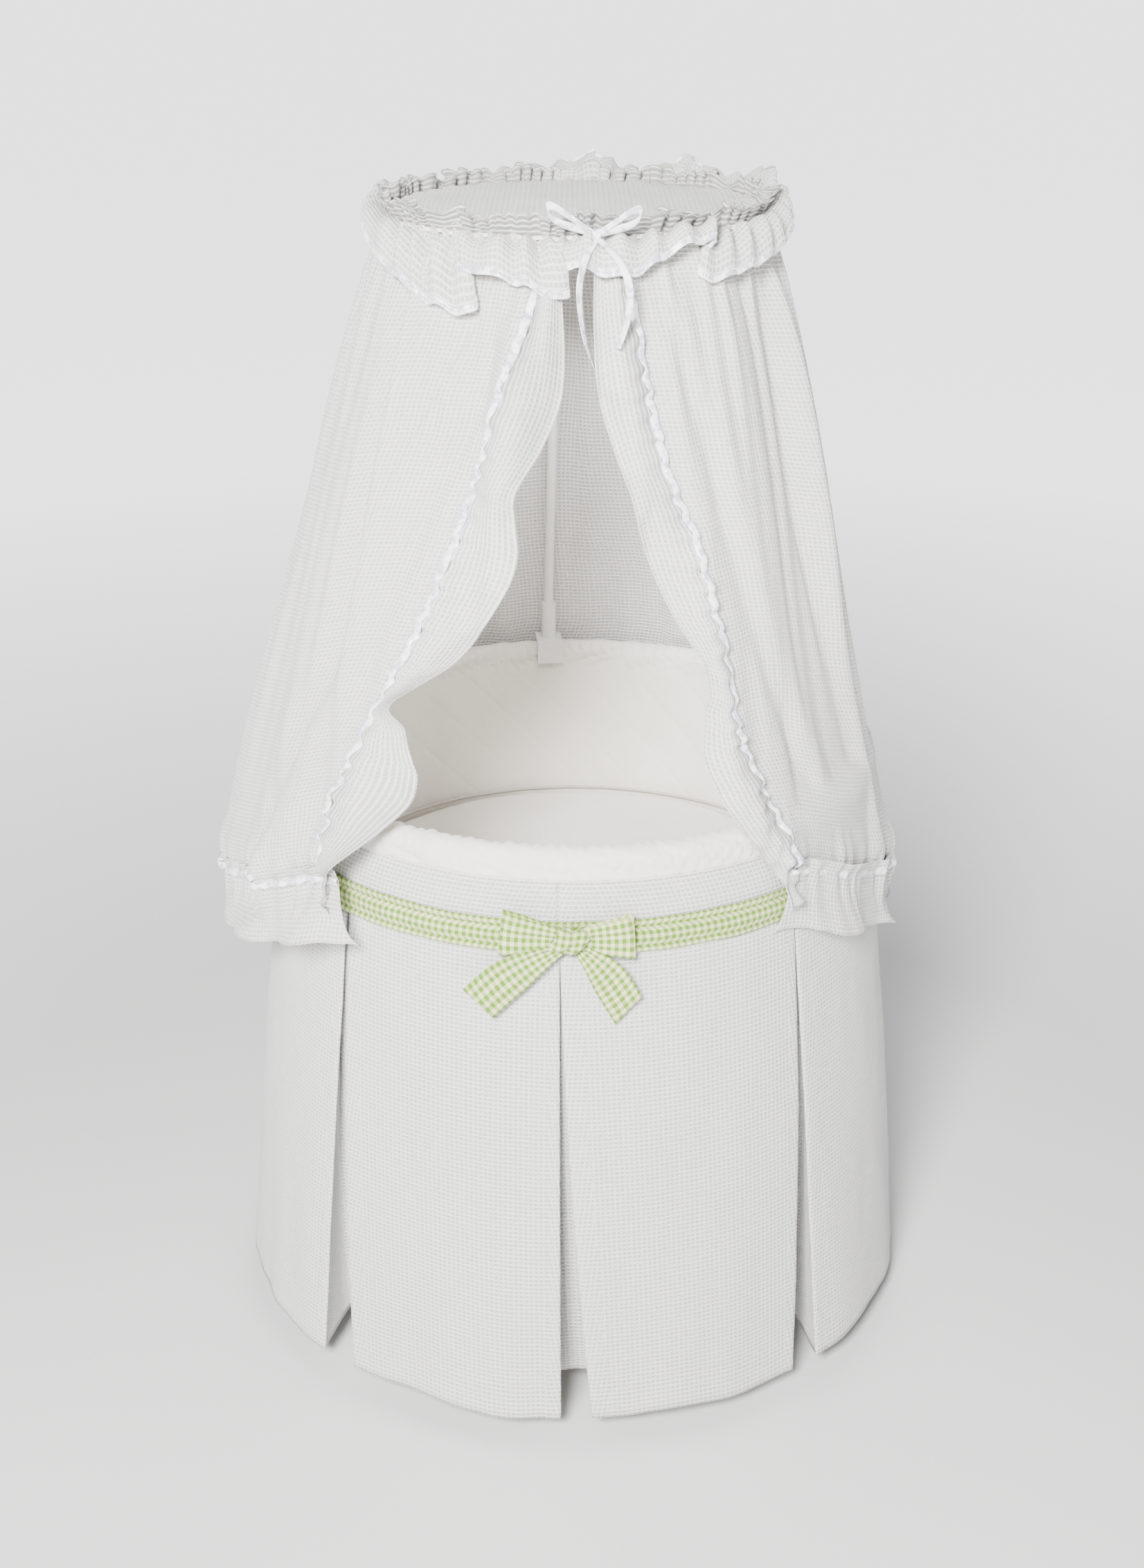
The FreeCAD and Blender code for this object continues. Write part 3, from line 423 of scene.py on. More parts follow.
def liner_rows():
    """The liner from its foot inside the basket, over the rim and down to the skirt's seam."""
    foot, wall_radius = 0.506, 0.3372
    fold_radius, middle, height = 0.0155, 0.3525, 0.733
    count, columns = 72, 1080
    inside, over, outside = height - foot, pi * fold_radius, 0.0202
    whole = inside + over + outside
    rows = []
    for j in range(count + 1):
        down = whole * j / count
        row = []
        for i in range(columns):
            theta = TAU * i / columns
            along = theta * QUILT_SIZE * QUILTS_ROUND / TAU
            puff = 0.0011 * (1 - quilt(along, down)) + 0.0008 * wavy(theta * 12, down * 26, 1)
            if down <= inside:
                r, z = wall_radius, foot + down
                r += 0.0022 - puff - 0.0028 * abs(wavy(theta * 5, z * 9, 2)) * ease(0, 0.03, down)
            elif down <= inside + over:
                turn = (down - inside) / fold_radius
                scallop = 0.003 * sin(theta * 140 + 2.5 * wavy(theta * 12, 0, 3))
                scallop *= 0.6 + wavy(theta * 3, 2, 3)
                reach = fold_radius + (puff - 0.002) * 0.8 + scallop * bump(turn, 1.0, 0.5)
                reach += 0.0012 * wavy(theta * 14, turn, 4) * sin(turn)
                r, z = middle - reach * cos(turn), height + reach * sin(turn)
            else:
                r = middle + fold_radius - 0.002 + puff
                z = height - (down - inside - over)
            slant = theta * 26 + z * 260
            wrinkle = 0.004 * wavy(slant, theta * 4, 5) + 0.0022 * wavy(slant * 2.6, theta * 9, 6)
            r += wrinkle * ease(0.712, 0.722, z)
            row.append(polar(theta, r, z))
        rows.append(row)
    return rows


liner = cloth("liner", liner_rows(), lining, "stand", closed=True, thick=0.002)
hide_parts("bumper_liner")


def ring_of_cloth(name, low, high, radius, material, count, columns):
    """A closed ring of cloth between two heights; radius is a function of angle and of 0 to 1 down."""
    rows = []
    for j in range(count + 1):
        t = j / count
        angles = [TAU * i / columns for i in range(columns)]
        rows.append([polar(theta, radius(theta, t), mix(high, low, t)) for theta in angles])
    return cloth(name, rows, material, "stand", closed=True, thick=0.0014)


def band_radius(theta, t):
    """The band's radius, with the crease of its join just left of the front."""
    side = math.remainder(theta - rad(-3), TAU)
    crease = 0.0045 * bump(side, 0.0, 0.0048)
    puff = 0.0035 * sin(pi * t) * (0.7 + 0.5 * wavy(theta * 4, t, 7))
    return mix(0.3655, 0.3718, t) + puff - crease


waffle_band = ring_of_cloth("waffle_band", 0.6265, 0.7125, band_radius, waffle, 18, 1500)
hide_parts("skirt_band")


def seam_welt(name, radius, z, thickness, material):
    """A thin corded seam all the way round."""
    columns, sides = 720, 8
    rows = []
    for j in range(sides + 1):
        turn = TAU * j / sides
        rows.append([
            polar(TAU * i / columns, radius + thickness * cos(turn) + 0.0005 * wavy(i * 0.09, 0, 8),
                  z + thickness * sin(turn) + 0.0006 * wavy(i * 0.07, 3, 9))
            for i in range(columns)
        ])
    return cloth(name, rows, material, "stand", closed=True, thick=0)


seam_welt("liner_seam", 0.368, 0.7127, 0.0009, lining)


def sash_radius(theta, t):
    """The sash's radius, with its two lengthwise folds."""
    fold = 0.0022 * bump(t, 0.22 + 0.1 * wavy(theta * 3, 0, 10), 0.07) + 0.0014 * bump(t, 0.8, 0.08)
    slack = 0.0016 * wavy(theta * 7, t * 2, 11) + 0.0008 * wavy(theta * 30, t * 3, 12)
    return mix(0.3756, 0.3768, t) + 0.0012 * sin(pi * t) - fold + slack


sash = ring_of_cloth("gingham_sash", 0.6275, 0.6675, sash_radius, gingham, 16, 720)
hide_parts("sash")


def mattress_mesh(name, radius, low, high):
    """A round pad with a rounded edge."""
    mesh = bpy.data.meshes.new(name)
    shape = bmesh.new()
    bevel, columns = 0.012, 96
    profile = [(radius - bevel, low), (radius, low + 0.01), (radius, high - bevel), (radius - bevel, high)]
    rings = [[shape.verts.new(polar(TAU * i / columns, r, z)) for i in range(columns)] for r, z in profile]
    for lower, upper in zip(rings, rings[1:]):
        for i in range(columns):
            k = (i + 1) % columns
            shape.faces.new((lower[i], lower[k], upper[k], upper[i]))
    shape.faces.new(list(reversed(rings[0])))
    shape.faces.new(rings[-1])
    shape.to_mesh(mesh)
    shape.free()
    return mesh


def apply_all(piece):
    """Applies every modifier on a piece."""
    bpy.context.view_layer.update()
    graph = bpy.context.evaluated_depsgraph_get()
    mesh = bpy.data.meshes.new_from_object(piece.evaluated_get(graph), depsgraph=graph)
    piece.modifiers.clear()
    piece.data = mesh


def puffed(piece, pressure, frames, cap, voxel=0.007):
    """Fills a closed piece like a cushion: remesh, cloth under pressure, and a cap on each point's travel."""
    remesh = piece.modifiers.new("remesh", "REMESH")
    remesh.mode, remesh.voxel_size = "VOXEL", voxel
    apply_all(piece)
    rest = [v.co.copy() for v in piece.data.vertices]
    sim = piece.modifiers.new("cloth", "CLOTH")
    sim.settings.use_pressure = True
    sim.settings.uniform_pressure_force = pressure
    sim.settings.effector_weights.gravity = 0
    sim.settings.tension_stiffness = sim.settings.compression_stiffness = 12
    sim.settings.bending_stiffness = 0.4
    sim.settings.quality = 5
    scene = bpy.context.scene
    for frame_number in range(1, frames + 1):
        scene.frame_set(frame_number)
    apply_all(piece)
    scene.frame_set(1)
    for vertex, start in zip(piece.data.vertices, rest):
        travel = vertex.co - start
        if travel.length > cap:
            vertex.co = start + travel * (cap / travel.length)


PAD_RADIUS, PAD_LOW, PAD_HIGH = 0.328, 0.503, 0.531
PAD_MIDDLE, PAD_CEILING, PAD_REACH = 0.52, 0.5385, 0.3335

pad = mattress_mesh("mattress", PAD_RADIUS, PAD_LOW, PAD_HIGH)
mattress = put("mattress", pad, sheeting, "stand")
puffed(mattress, 1.6, 14, 0.006)
for vertex in mattress.data.vertices:
    x, y, z = vertex.co
    if z > PAD_MIDDLE:
        vertex.co.z += 0.0016 * wavy(x * 9, y * 9, 13) - 0.0008
    vertex.co.z = min(vertex.co.z, PAD_CEILING)
    flat = hypot(x, y)
    if flat > PAD_REACH:
        vertex.co.x, vertex.co.y = x * PAD_REACH / flat, y * PAD_REACH / flat
for face in mattress.data.polygons:
    face.use_smooth = True
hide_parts("mattress_pad")
seam_welt("mattress_piping", 0.3285, 0.5335, 0.0021, piping)

# ---- skirt

WAIST, HEM = 0.6268, 0.033
# Each box pleat's two edges, in degrees from the front: left at the waist and hem, right at both.
PLEATS = (
    (-2.75, -2.3, -2.6, 2.7), (42.9, 38.1, 43.1, 43.3), (86.9, 84.2, 87.1, 90.2),
    (131.8, 128.9, 132.0, 134.6), (177.0, 174.0, 177.2, 179.6), (221.8, 219.2, 222.0, 225.2),
    (267.1, 264.0, 267.3, 269.8), (314.4, 314.2, 315.3, 321.2),
)
PLEAT_REACH = 0.014
PANEL_STEPS = 26


def skirt_line(t):
    """One level of the skirt, from its waist at t 0 to its hem at 1, as a closed run of points."""
    radius = mix(0.3742, 0.4385, t) + 0.003 * sin(pi * t)
    spread = 0.35 * t + 0.65 * t ** 1.6
    edges = [(rad(mix(a, b, spread)), rad(mix(c, d, spread))) for a, b, c, d in PLEATS]
    line = []
    for k, (left, right) in enumerate(edges):
        pleat, gap = (left + right) / 2, (right - left) / 2 * radius
        fold = 0.01 + 0.026 * t ** 0.8
        depth = 0.0022 + 0.066 * t ** 1.5
        lift = 0.014 * ease(0.9, 1.0, t)
        turned = (
            (-gap - PLEAT_REACH, 0.0, 0.0), (-gap - 0.005, 0.0006, 0.0),
            (-gap - 0.001, 0.0002, 0.0), (-gap, -0.0008, 0.0),
            (-gap - 0.001, -0.0018, 0.1), (-gap - 0.3 * fold, -0.002 - 0.3 * depth, 0.4),
            (-gap - 0.7 * fold, -0.0024 - 0.66 * depth, 0.8),
            (-gap - 0.97 * fold, -0.0026 - 0.9 * depth, 1.0),
            (-gap - fold, -0.0034 - 0.97 * depth, 1.0), (-gap - 0.93 * fold, -0.0042 - depth, 1.0),
            (-gap - 0.4 * fold, -0.0042 - depth, 1.0), (-0.5 * gap, -0.0042 - 1.02 * depth, 1.0),
            (0.0, -0.0042 - 1.03 * depth, 1.0),
        )
        turned += tuple((-s, rho, up) for s, rho, up in reversed(turned[:-1]))
        for s, rho, up in turned:
            line.append((pleat + s / radius, radius + rho, lift * up))
        follow = edges[(k + 1) % len(edges)][0] + (TAU if k == len(edges) - 1 else 0)
        start, end = right + PLEAT_REACH / radius, follow - PLEAT_REACH / radius
        for i in range(1, PANEL_STEPS):
            line.append((mix(start, end, i / PANEL_STEPS), radius, 0.0))
    return line


def skirt_rows(levels=60):
    rows = []
    for j in range(levels + 1):
        t = j / levels
        line, row = skirt_line(t), []
        for theta, radius, lift in line:
            sway = 0.007 * t ** 1.2 * wavy(theta * 3.3, t * 1.1, 15)
            sway += 0.003 * t * wavy(theta * 9, t * 1.6, 16)
            sway += 0.001 * wavy(theta * 14, t * 9, 17)
            hem = 0.006 * t ** 3 * wavy(theta * 4, 2.0, 18)
            puff = 0.0016 * wavy(theta * 42, 0, 19) * bump(t, 0, 0.1)
            row.append(polar(theta, radius + sway + puff, mix(WAIST, HEM, t) + hem + lift))
        rows.append(row)
    return rows


rows = skirt_rows()
per_pleat = len(rows[0]) // len(PLEATS)
pleat_middle, panel_middle = 12, 38
grain = [(per_pleat * k + middle) / len(rows[0])
         for middle in (panel_middle, pleat_middle) for k in range(len(PLEATS))]
skirt = cloth("skirt", rows, waffle, "stand", grain, closed=True, thick=0.0012)
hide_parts(*[f"skirt_panel_{i}" for i in range(1, 9)], "pleat_backs")

# ---- drape

TOP = 1.388
drape_radius = through(
    (0.48, 0.438), (0.545, 0.43), (0.6, 0.409), (0.66, 0.402), (0.708, 0.393), (0.748, 0.383),
    (0.828, 0.363), (0.948, 0.333), (1.16, 0.284), (1.323, 0.238), (TOP, 0.212))
# The flounce's seam: degrees from the front, and height.
flounce_seam = through(
    (38, 0.692), (45, 0.682), (58, 0.645), (75, 0.603), (90, 0.578), (130, 0.566), (180, 0.562))
# The front opening's ribbon seams, left and right: height, and degrees from the front.
SEAM = {
    -1: through(
        (0.66, 42.5), (0.7, 43.0), (0.74, 44.5), (0.78, 44.3), (0.874, 37.5), (0.938, 33.8),
        (1.011, 29.2), (1.09, 24.9), (1.156, 21.0), (1.248, 15.8), (1.319, 11.2), (TOP, 8.5)),
    1: through(
        (0.66, 41.0), (0.7, 40.5), (0.74, 38.8), (0.796, 35.2), (0.859, 31.0), (0.933, 29.6),
        (0.989, 28.0), (1.079, 24.9), (1.146, 20.6), (1.226, 17.6), (1.316, 14.6), (TOP, 12.5)),
}
# The ruffles' free edges, in the same terms.
EDGE = {
    -1: through(
        (0.63, 40.5), (0.66, 42.0), (0.7, 41.0), (0.758, 33.4), (0.8, 28.2), (0.842, 27.0),
        (0.875, 30.0), (0.897, 34.2), (0.915, 31.0), (0.942, 24.6), (0.987, 17.8), (1.04, 12.4),
        (1.07, 11.2), (1.11, 11.9), (1.14, 11.4), (1.18, 7.2), (1.226, 3.4), (1.268, 2.7),
        (1.33, 3.4), (TOP, 4.5)),
    1: through(
        (0.63, 38.0), (0.68, 38.0), (0.724, 33.4), (0.765, 28.6), (0.802, 25.4), (0.849, 23.9),
        (0.88, 25.4), (0.915, 25.9), (0.953, 23.8), (1.023, 18.0), (1.09, 13.0), (1.14, 10.8),
        (1.18, 8.4), (1.226, 5.6), (1.268, 4.4), (1.33, 4.6), (TOP, 5.5)),
}


def seam_height(theta):
    """The height of the flounce's seam at an angle."""
    return flounce_seam(abs(math.degrees(math.remainder(theta, TAU))))


# The drape's long creases: the angle at each height, how deep, and how wide in radians.
CREASES = (
    (through((0.6, -65), (0.72, -62), (0.82, -57.7), (0.938, -51.6), (1.116, -50.1), (1.3, -50),
             (TOP, -51)), 0.0125, 0.055),
    (through((0.6, 70), (0.74, 68), (0.883, 66), (0.994, 63.5), (1.153, 60), (1.31, 62), (TOP, 64)),
     0.011, 0.05),
    (through((0.8, -42), (0.95, -40), (1.1, -33), (1.25, -21), (TOP, -15)), 0.005, 0.045),
    (through((0.74, 52), (0.86, 44), (1.0, 37), (1.15, 31), (1.3, 24), (TOP, 20)), 0.0055, 0.045),
    (through((0.6, 105), (0.9, 108), (TOP, 112)), 0.007, 0.05),
    (through((0.6, -112), (0.9, -108), (TOP, -104)), 0.007, 0.05),
    (through((0.6, 160), (0.9, 156), (TOP, 151)), 0.008, 0.06),
    (through((0.6, -168), (0.9, -163), (TOP, -158)), 0.008, 0.06),
)

# The least radius that clears the skirt, sash and liner at each height.
inner_limit = through(
    (0.48, 0.4), (0.55, 0.3895), (0.6268, 0.3805), (0.64, 0.3808), (0.675, 0.38), (0.69, 0.3765),
    (0.74, 0.3745), (0.755, 0.366), (0.775, 0.33), (0.8, 0.22), (0.85, 0.05))


def clear_of_basket(r, z):
    """A radius kept outside the basket's skirt, sash and liner, with a soft approach."""
    soft, far = 0.002, 12
    over = (r - inner_limit(z)) / soft
    return r if over > far else inner_limit(z) + soft * math.log1p(exp(over))


def drape_point(theta, z, out=0.0):
    """A point on the drape, with its long folds, its gathers under the top and its puff over the seam."""
    side = math.remainder(theta, TAU)
    fall = TOP - z
    r = drape_radius(z) + out - 0.022 * sin(side) * ease(0.1, 0.72, fall)
    r += 0.0115 * ease(0, 0.25, fall) * wavy(side * 2.9, z, 20)
    r += 0.014 * ease(0, 0.12, fall) * wavy(side * 7.0 + 1.6 * z, z * 1.2, 21)
    r += 0.0052 * wavy(side * 15, z * 2.4, 22)
    for angle, depth, width in CREASES:
        away = side - rad(angle(z))
        ridge = 0.7 * bump(away, 1.7 * width, 1.5 * width)
        r += 1.4 * depth * ease(0, 0.08, fall) * (ridge - bump(away, 0, width))
    r += 0.0056 * sin(side * 46 + 6 * wavy(side * 5, 0, 23)) * exp(-fall / 0.08)
    r += 0.0044 * sin(side * 23 + 8 * wavy(side * 3, 1, 19)) * exp(-fall / 0.34)
    over = z - seam_height(theta)
    r += 0.0085 * bump(over, 0.034, 0.028) * (0.9 + wavy(side * 9, 0, 24))
    r += 0.0042 * sin(side * 70 + 9 * wavy(side * 6, 0, 25)) * exp(-max(over, 0) / 0.04)
    r -= 0.006 * bump(over, 0.0, 0.012)
    hand = 1 if side > 0 else -1
    near = abs(abs(math.degrees(side)) - SEAM[hand](z)) * rad(1) * r
    tuck = sin(z * 250 + 6 * wavy(z * 14, hand, 29)) + 0.6 * sin(z * 117 + hand)
    r += 0.0034 * tuck * exp(-near / 0.014) * ease(0, 0.05, fall)
    return polar(theta, clear_of_basket(r, z), z)


def drape_rows(columns=600, levels=110):
    rows = []
    for j in range(levels + 1):
        row = []
        for i in range(columns + 1):
            u = i / columns
            z = TOP
            for _ in range(3):
                start, end = rad(SEAM[1](z)), TAU - rad(SEAM[-1](z))
                theta = mix(start, end, u)
                z = mix(TOP, seam_height(theta), j / levels)
            row.append(drape_point(theta, z))
        rows.append(row)
    return rows


def canopy_cloth(name, rows, middles=(0.5,), closed=False, thick=CLOTH_THICK):
    """A sheet of the canopy's own waffle cloth."""
    return cloth(name, rows, waffle, "canopy", middles, closed, thick)


drape = canopy_cloth("drape", drape_rows(), (0.015, 0.15, 0.38, 0.62, 0.85, 0.985))
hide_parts("drape_back", "drape_left", "drape_right")


def seam_path(side, low, high, count, out):
    """Points down one ribbon seam of the front opening."""
    points = []
    for i in range(count + 1):
        z = mix(high, low, i / count)
        points.append(drape_point(side * rad(SEAM[side](z)), z, out))
    return points


def ruffle_rows(side, count=300, columns=26):
    """The ruffled strip between the ribbon seam and the opening's wavy edge."""
    rows = [[] for _ in range(columns + 1)]
    for i in range(count + 1):
        z = mix(TOP - 0.004, 0.65, i / count)
        seam_angle, edge_angle = SEAM[side](z), EDGE[side](z)
        for k in range(columns + 1):
            t = k / columns
            theta = side * rad(mix(seam_angle, edge_angle, t))
            wave = 0.013 * sin(z * 40 + side * 1.1 + 2.4 * wavy(z * 5, side, 26))
            wave += 0.011 * wavy(z * 17, t * 1.5, 27 + side) + 0.004 * wavy(z * 50, t * 3, 37 + side)
            pucker = 0.003 * sin(z * 250 + 6 * wavy(z * 14, side, 29)) * exp(-t / 0.25)
            hill = 0.01 * sin(pi * min(t * 1.1, 1.0))
            low_end = ease(0.66, 0.72, z)
            hem = 0.001 * ease(0.93, 0.97, t)
            stand_off = (wave * t ** 1.2 + hill) * (0.35 + 0.65 * low_end) * ease(0, 0.07, TOP - z)
            rows[k].append(drape_point(theta, z, 0.004 + stand_off + pucker + hem))
    return rows


def ribbon_on(name, points):
    """A gathered satin ribbon sewn along a seam of the canopy."""
    acrosses, shifted = [], []
    for i, p in enumerate(points):
        ahead = (points[min(i + 1, len(points) - 1)] - points[max(i - 1, 0)]).normalized()
        outward = Vector((p.x, p.y, 0)).normalized()
        across = ahead.cross(outward).normalized()
        pull = 1 + 0.22 * wavy(i * 0.35, 0, 30)
        acrosses.append(across * RIBBON_WIDTH * pull)
        lifted = outward * (0.0022 + 0.0014 * wavy(i * 0.42, 0, 31))
        shifted.append(p + lifted + across * 0.0016 * wavy(i * 0.3, 5, 32))
    return band(name, shifted, acrosses, satin, "canopy", columns=6, crown=0.0014)


for side, word, width in ((-1, "left", 0.065), (1, "right", 0.055)):
    strip = canopy_cloth(f"ruffle_{word}", ruffle_rows(side))
    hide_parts(f"drape_ruffle_{word}")
    path = seam_path(side, 0.7, TOP - 0.01, 260, 0.004)
    sewn = ribbon_on(f"seam_ribbon_{word}", path)


FLOUNCE_REACH = 0.448


def flounce_rows(columns=1000, levels=20, header=4):
    """The flounce: a short header above the ribbon seam and the ruffle below it."""
    rows = []
    for j in range(levels + 1):
        t = (j - header) / (levels - header)
        row = []
        for i in range(columns + 1):
            end = rad(40.5 - 4.0 * max(t, 0) ** 1.3)
            theta = mix(end, TAU - end, i / columns)
            side = math.remainder(theta, TAU)
            z0 = seam_height(theta)
            fall = 0.074 + 0.006 * wavy(side * 5, 0, 33)
            base = drape_point(theta, z0)
            calm = drape_radius(z0) - 0.022 * sin(side) + 0.005 * wavy(side * 2.9, z0, 20)
            r0 = mix(hypot(base.x, base.y), calm, ease(0.0, 0.55, abs(t)))
            wave = 0.0115 * sin(side * 15 + 2.5 * wavy(side * 2, 0, 34))
            wave += 0.008 * wavy(side * 14, t, 35)
            pucker = 0.0028 * sin(side * 80 + 9 * wavy(side * 6, 0, 36)) * exp(-abs(t) / 0.3)
            if t < 0:
                z = z0 - t * 0.06
                r = r0 + 0.0035 - t * (0.022 + 1.1 * wave) + pucker
            else:
                front = ease(38, 52, abs(math.degrees(side)))
                lean = mix(0.024, 0.012, 0.5 + 0.5 * sin(side))
                lean *= ease(0, 1, t) * (0.6 + 0.4 * front)
                z = z0 - fall * sin(pi * 0.5 * t ** 0.9)
                r = r0 + 0.0035 * (1 - t) + lean + wave * t ** 1.2 + pucker
            if r > FLOUNCE_REACH:
                r = mix(FLOUNCE_REACH, r, 0.35)
            row.append(polar(theta, clear_of_basket(r, z), z))
        rows.append(row)
    return rows


flounce = canopy_cloth("flounce", flounce_rows(), (0.1, 0.3, 0.5, 0.7, 0.9))
angles = [mix(rad(40), TAU - rad(40), i / 700) for i in range(701)]
around = [drape_point(theta, seam_height(theta), 0.004) for theta in angles]
flounce_ribbon = ribbon_on("flounce_ribbon", around)


def gore_seam(name, stations):
    """A sewn seam line down the drape, through (height, degrees from the front), drawn as a thin grey strip:
    the seam is real, its grey is painted shade.
    """
    angle = through(*stations)
    low, high = stations[0][0], stations[-1][0]
    heights = [mix(high, low, i / 160) for i in range(161)]
    centres = [drape_point(rad(angle(z)), z, 0.001) for z in heights]
    acrosses = [Vector((-p.y, p.x, 0)).normalized() * 0.0017 for p in centres]
    band(name, centres, acrosses, seam_shade_strip, "canopy", columns=4, crown=0.0004, thick=0)


gore_seam("seam_left", (
    (0.76, -52.4), (0.83, -51.6), (0.916, -49.9), (1.022, -46.1), (1.123, -42.1), (1.231, -33.8),
    (1.32, -24.5), (1.37, -20)))
gore_seam("seam_right", (
    (0.77, 48.0), (0.83, 46.0), (0.911, 42.8), (0.998, 40.4), (1.09, 38.0), (1.203, 33.2),
    (1.327, 23.1), (1.37, 20)))

# ---- canopy top


def flat_weave(piece):
    """Lays a piece's weave square to the floor plan."""
    mesh = piece.data
    layer = mesh.uv_layers["weave"].data
    for corner, loop in zip(layer, mesh.loops):
        x, y, _ = mesh.vertices[loop.vertex_index].co
        corner.uv = (x, y)


RING_RADIUS, RING_HEIGHT = 0.2125, 1.3895
COVER_RADIUS = 0.2115


def cover_point(theta, reach):
    """A point on the top cover, which domes a little between its gathers."""
    x, y = sin(theta) * reach, -cos(theta) * reach
    dome = 0.011 * cos(min(reach / 0.212, 1.0) * pi / 2) ** 0.8
    soft = 0.0026 * wavy(x * 14, y * 14, 40) + 0.0018 * wavy(x * 34, y * 34, 41)
    pull = 0.0016 * sin(theta * 46 + 4 * wavy(theta * 5, 0, 42)) * ease(0.15, 0.212, reach)
    return Vector((x, y, 1.3955 + dome + soft * ease(0.0, 0.05, reach) + pull))


rows = [[cover_point(TAU * i / 240, mix(0.0004, COVER_RADIUS, j / 40)) for i in range(240)]
        for j in range(41)]
cover = canopy_cloth("canopy_cover", rows, closed=True)
flat_weave(cover)
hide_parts("canopy_top")

# Angle from the front, height and radius of the valance's hem as it goes round, with its folds.
VALANCE_HEM = (
    (-186, 1.424, 0.236), (-172, 1.406, 0.243), (-163, 1.402, 0.245), (-151, 1.396, 0.246),
    (-134, 1.386, 0.246), (-120, 1.394, 0.246), (-108, 1.398, 0.246), (-95, 1.385, 0.244),
    (-74, 1.366, 0.243), (-52, 1.338, 0.247), (-39, 1.319, 0.251), (-29, 1.311, 0.254),
    (-25.2, 1.314, 0.247), (-26.5, 1.33, 0.238), (-30.5, 1.345, 0.233), (-29.5, 1.355, 0.24),
    (-25, 1.356, 0.248), (-12, 1.342, 0.247), (-4.5, 1.329, 0.249), (-1.6, 1.332, 0.242),
    (-3.5, 1.348, 0.236), (-3.2, 1.36, 0.238), (1.5, 1.363, 0.243), (13, 1.353, 0.247),
    (24, 1.375, 0.245), (34, 1.386, 0.244), (38, 1.381, 0.24), (34.5, 1.364, 0.235),
    (32.8, 1.348, 0.24), (36, 1.343, 0.248), (51, 1.35, 0.248), (73, 1.367, 0.247),
    (88, 1.385, 0.247), (98, 1.405, 0.243), (107, 1.43, 0.236), (118, 1.412, 0.24),
    (130, 1.402, 0.244), (144, 1.424, 0.236), (158, 1.398, 0.243), (174, 1.424, 0.236),
)
GATHERS = 150
VALANCE_DROP = 0.078


def valance_rows(steps=1400, levels=18):
    """The valance, from its gathers on the ring to its hem; its slack cloth bulges up and out."""
    count = len(VALANCE_HEM) - 1
    at = [through(*[(i, station[k]) for i, station in enumerate(VALANCE_HEM)]) for k in range(3)]
    rows = [[] for _ in range(levels + 1)]
    for i in range(steps + 1):
        s = count * i / steps
        angle, height, radius = (curve(s) for curve in at)
        if i == steps:
            angle, height, radius = VALANCE_HEM[0][0] + 360, VALANCE_HEM[0][1], VALANCE_HEM[0][2]
        top_angle = rad(mix(-186, 174, s / count))
        top_angle = mix(top_angle, rad(angle), 0.86)
        start = polar(top_angle, RING_RADIUS, RING_HEIGHT)
        end = polar(rad(angle), radius, height)
        chord = (end - start).length
        slack = max(VALANCE_DROP ** 2 - chord ** 2, 0.0) ** 0.5
        rise = 0.007 + 0.26 * slack
        outward = Vector((sin(top_angle), -cos(top_angle), 0))
        middle = (start + end) / 2 + Vector((0, 0, rise)) + outward * (0.008 + 0.06 * slack)
        pleat = sin(top_angle * GATHERS * 0.5 + 4 * wavy(top_angle * 6, 0, 43))
        fine = sin(top_angle * GATHERS * 0.27 + 3 * wavy(top_angle * 4, 1, 44))
        for j in range(levels + 1):
            t = j / levels
            p = start * (1 - t) ** 2 + middle * (2 * t * (1 - t)) + end * t * t
            fade = exp(-t / 0.28)
            ripple = 0.005 * pleat * fade + 0.011 * fine * exp(-t / 0.9) * ease(0, 0.25, t)
            ripple += 0.005 * wavy(angle * 0.16, t * 1.2, 45) * t
            rows[j].append(p + (outward * 0.6 + Vector((0, 0, 0.8))) * ripple)
    return rows


valance_cloth = valance_rows()
valance = canopy_cloth("valance", valance_cloth, (0.12, 0.3, 0.42, 0.55, 0.72, 0.9))
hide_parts("canopy_valance")

hem_points, hem_across = [], []
hem_row, inner_row = valance_cloth[-1], valance_cloth[-3]
for i in range(0, len(hem_row), 2):
    edge, inner = hem_row[i], inner_row[i]
    along = hem_row[min(i + 2, len(hem_row) - 1)] - hem_row[max(i - 2, 0)]
    out = (inner - edge).cross(along).normalized()
    if out.dot(Vector((edge.x, edge.y, 0.05))) < 0:
        out = -out
    hem_points.append(mix(edge, inner, 0.42) + out * (0.001 + 0.0007 * wavy(i * 0.21, 0, 46)))
    hem_across.append((inner - edge).normalized() * 0.0085 * (1 + 0.12 * wavy(i * 0.17, 2, 47)))
hem_ribbon = band("valance_ribbon", hem_points, hem_across, satin, "canopy")


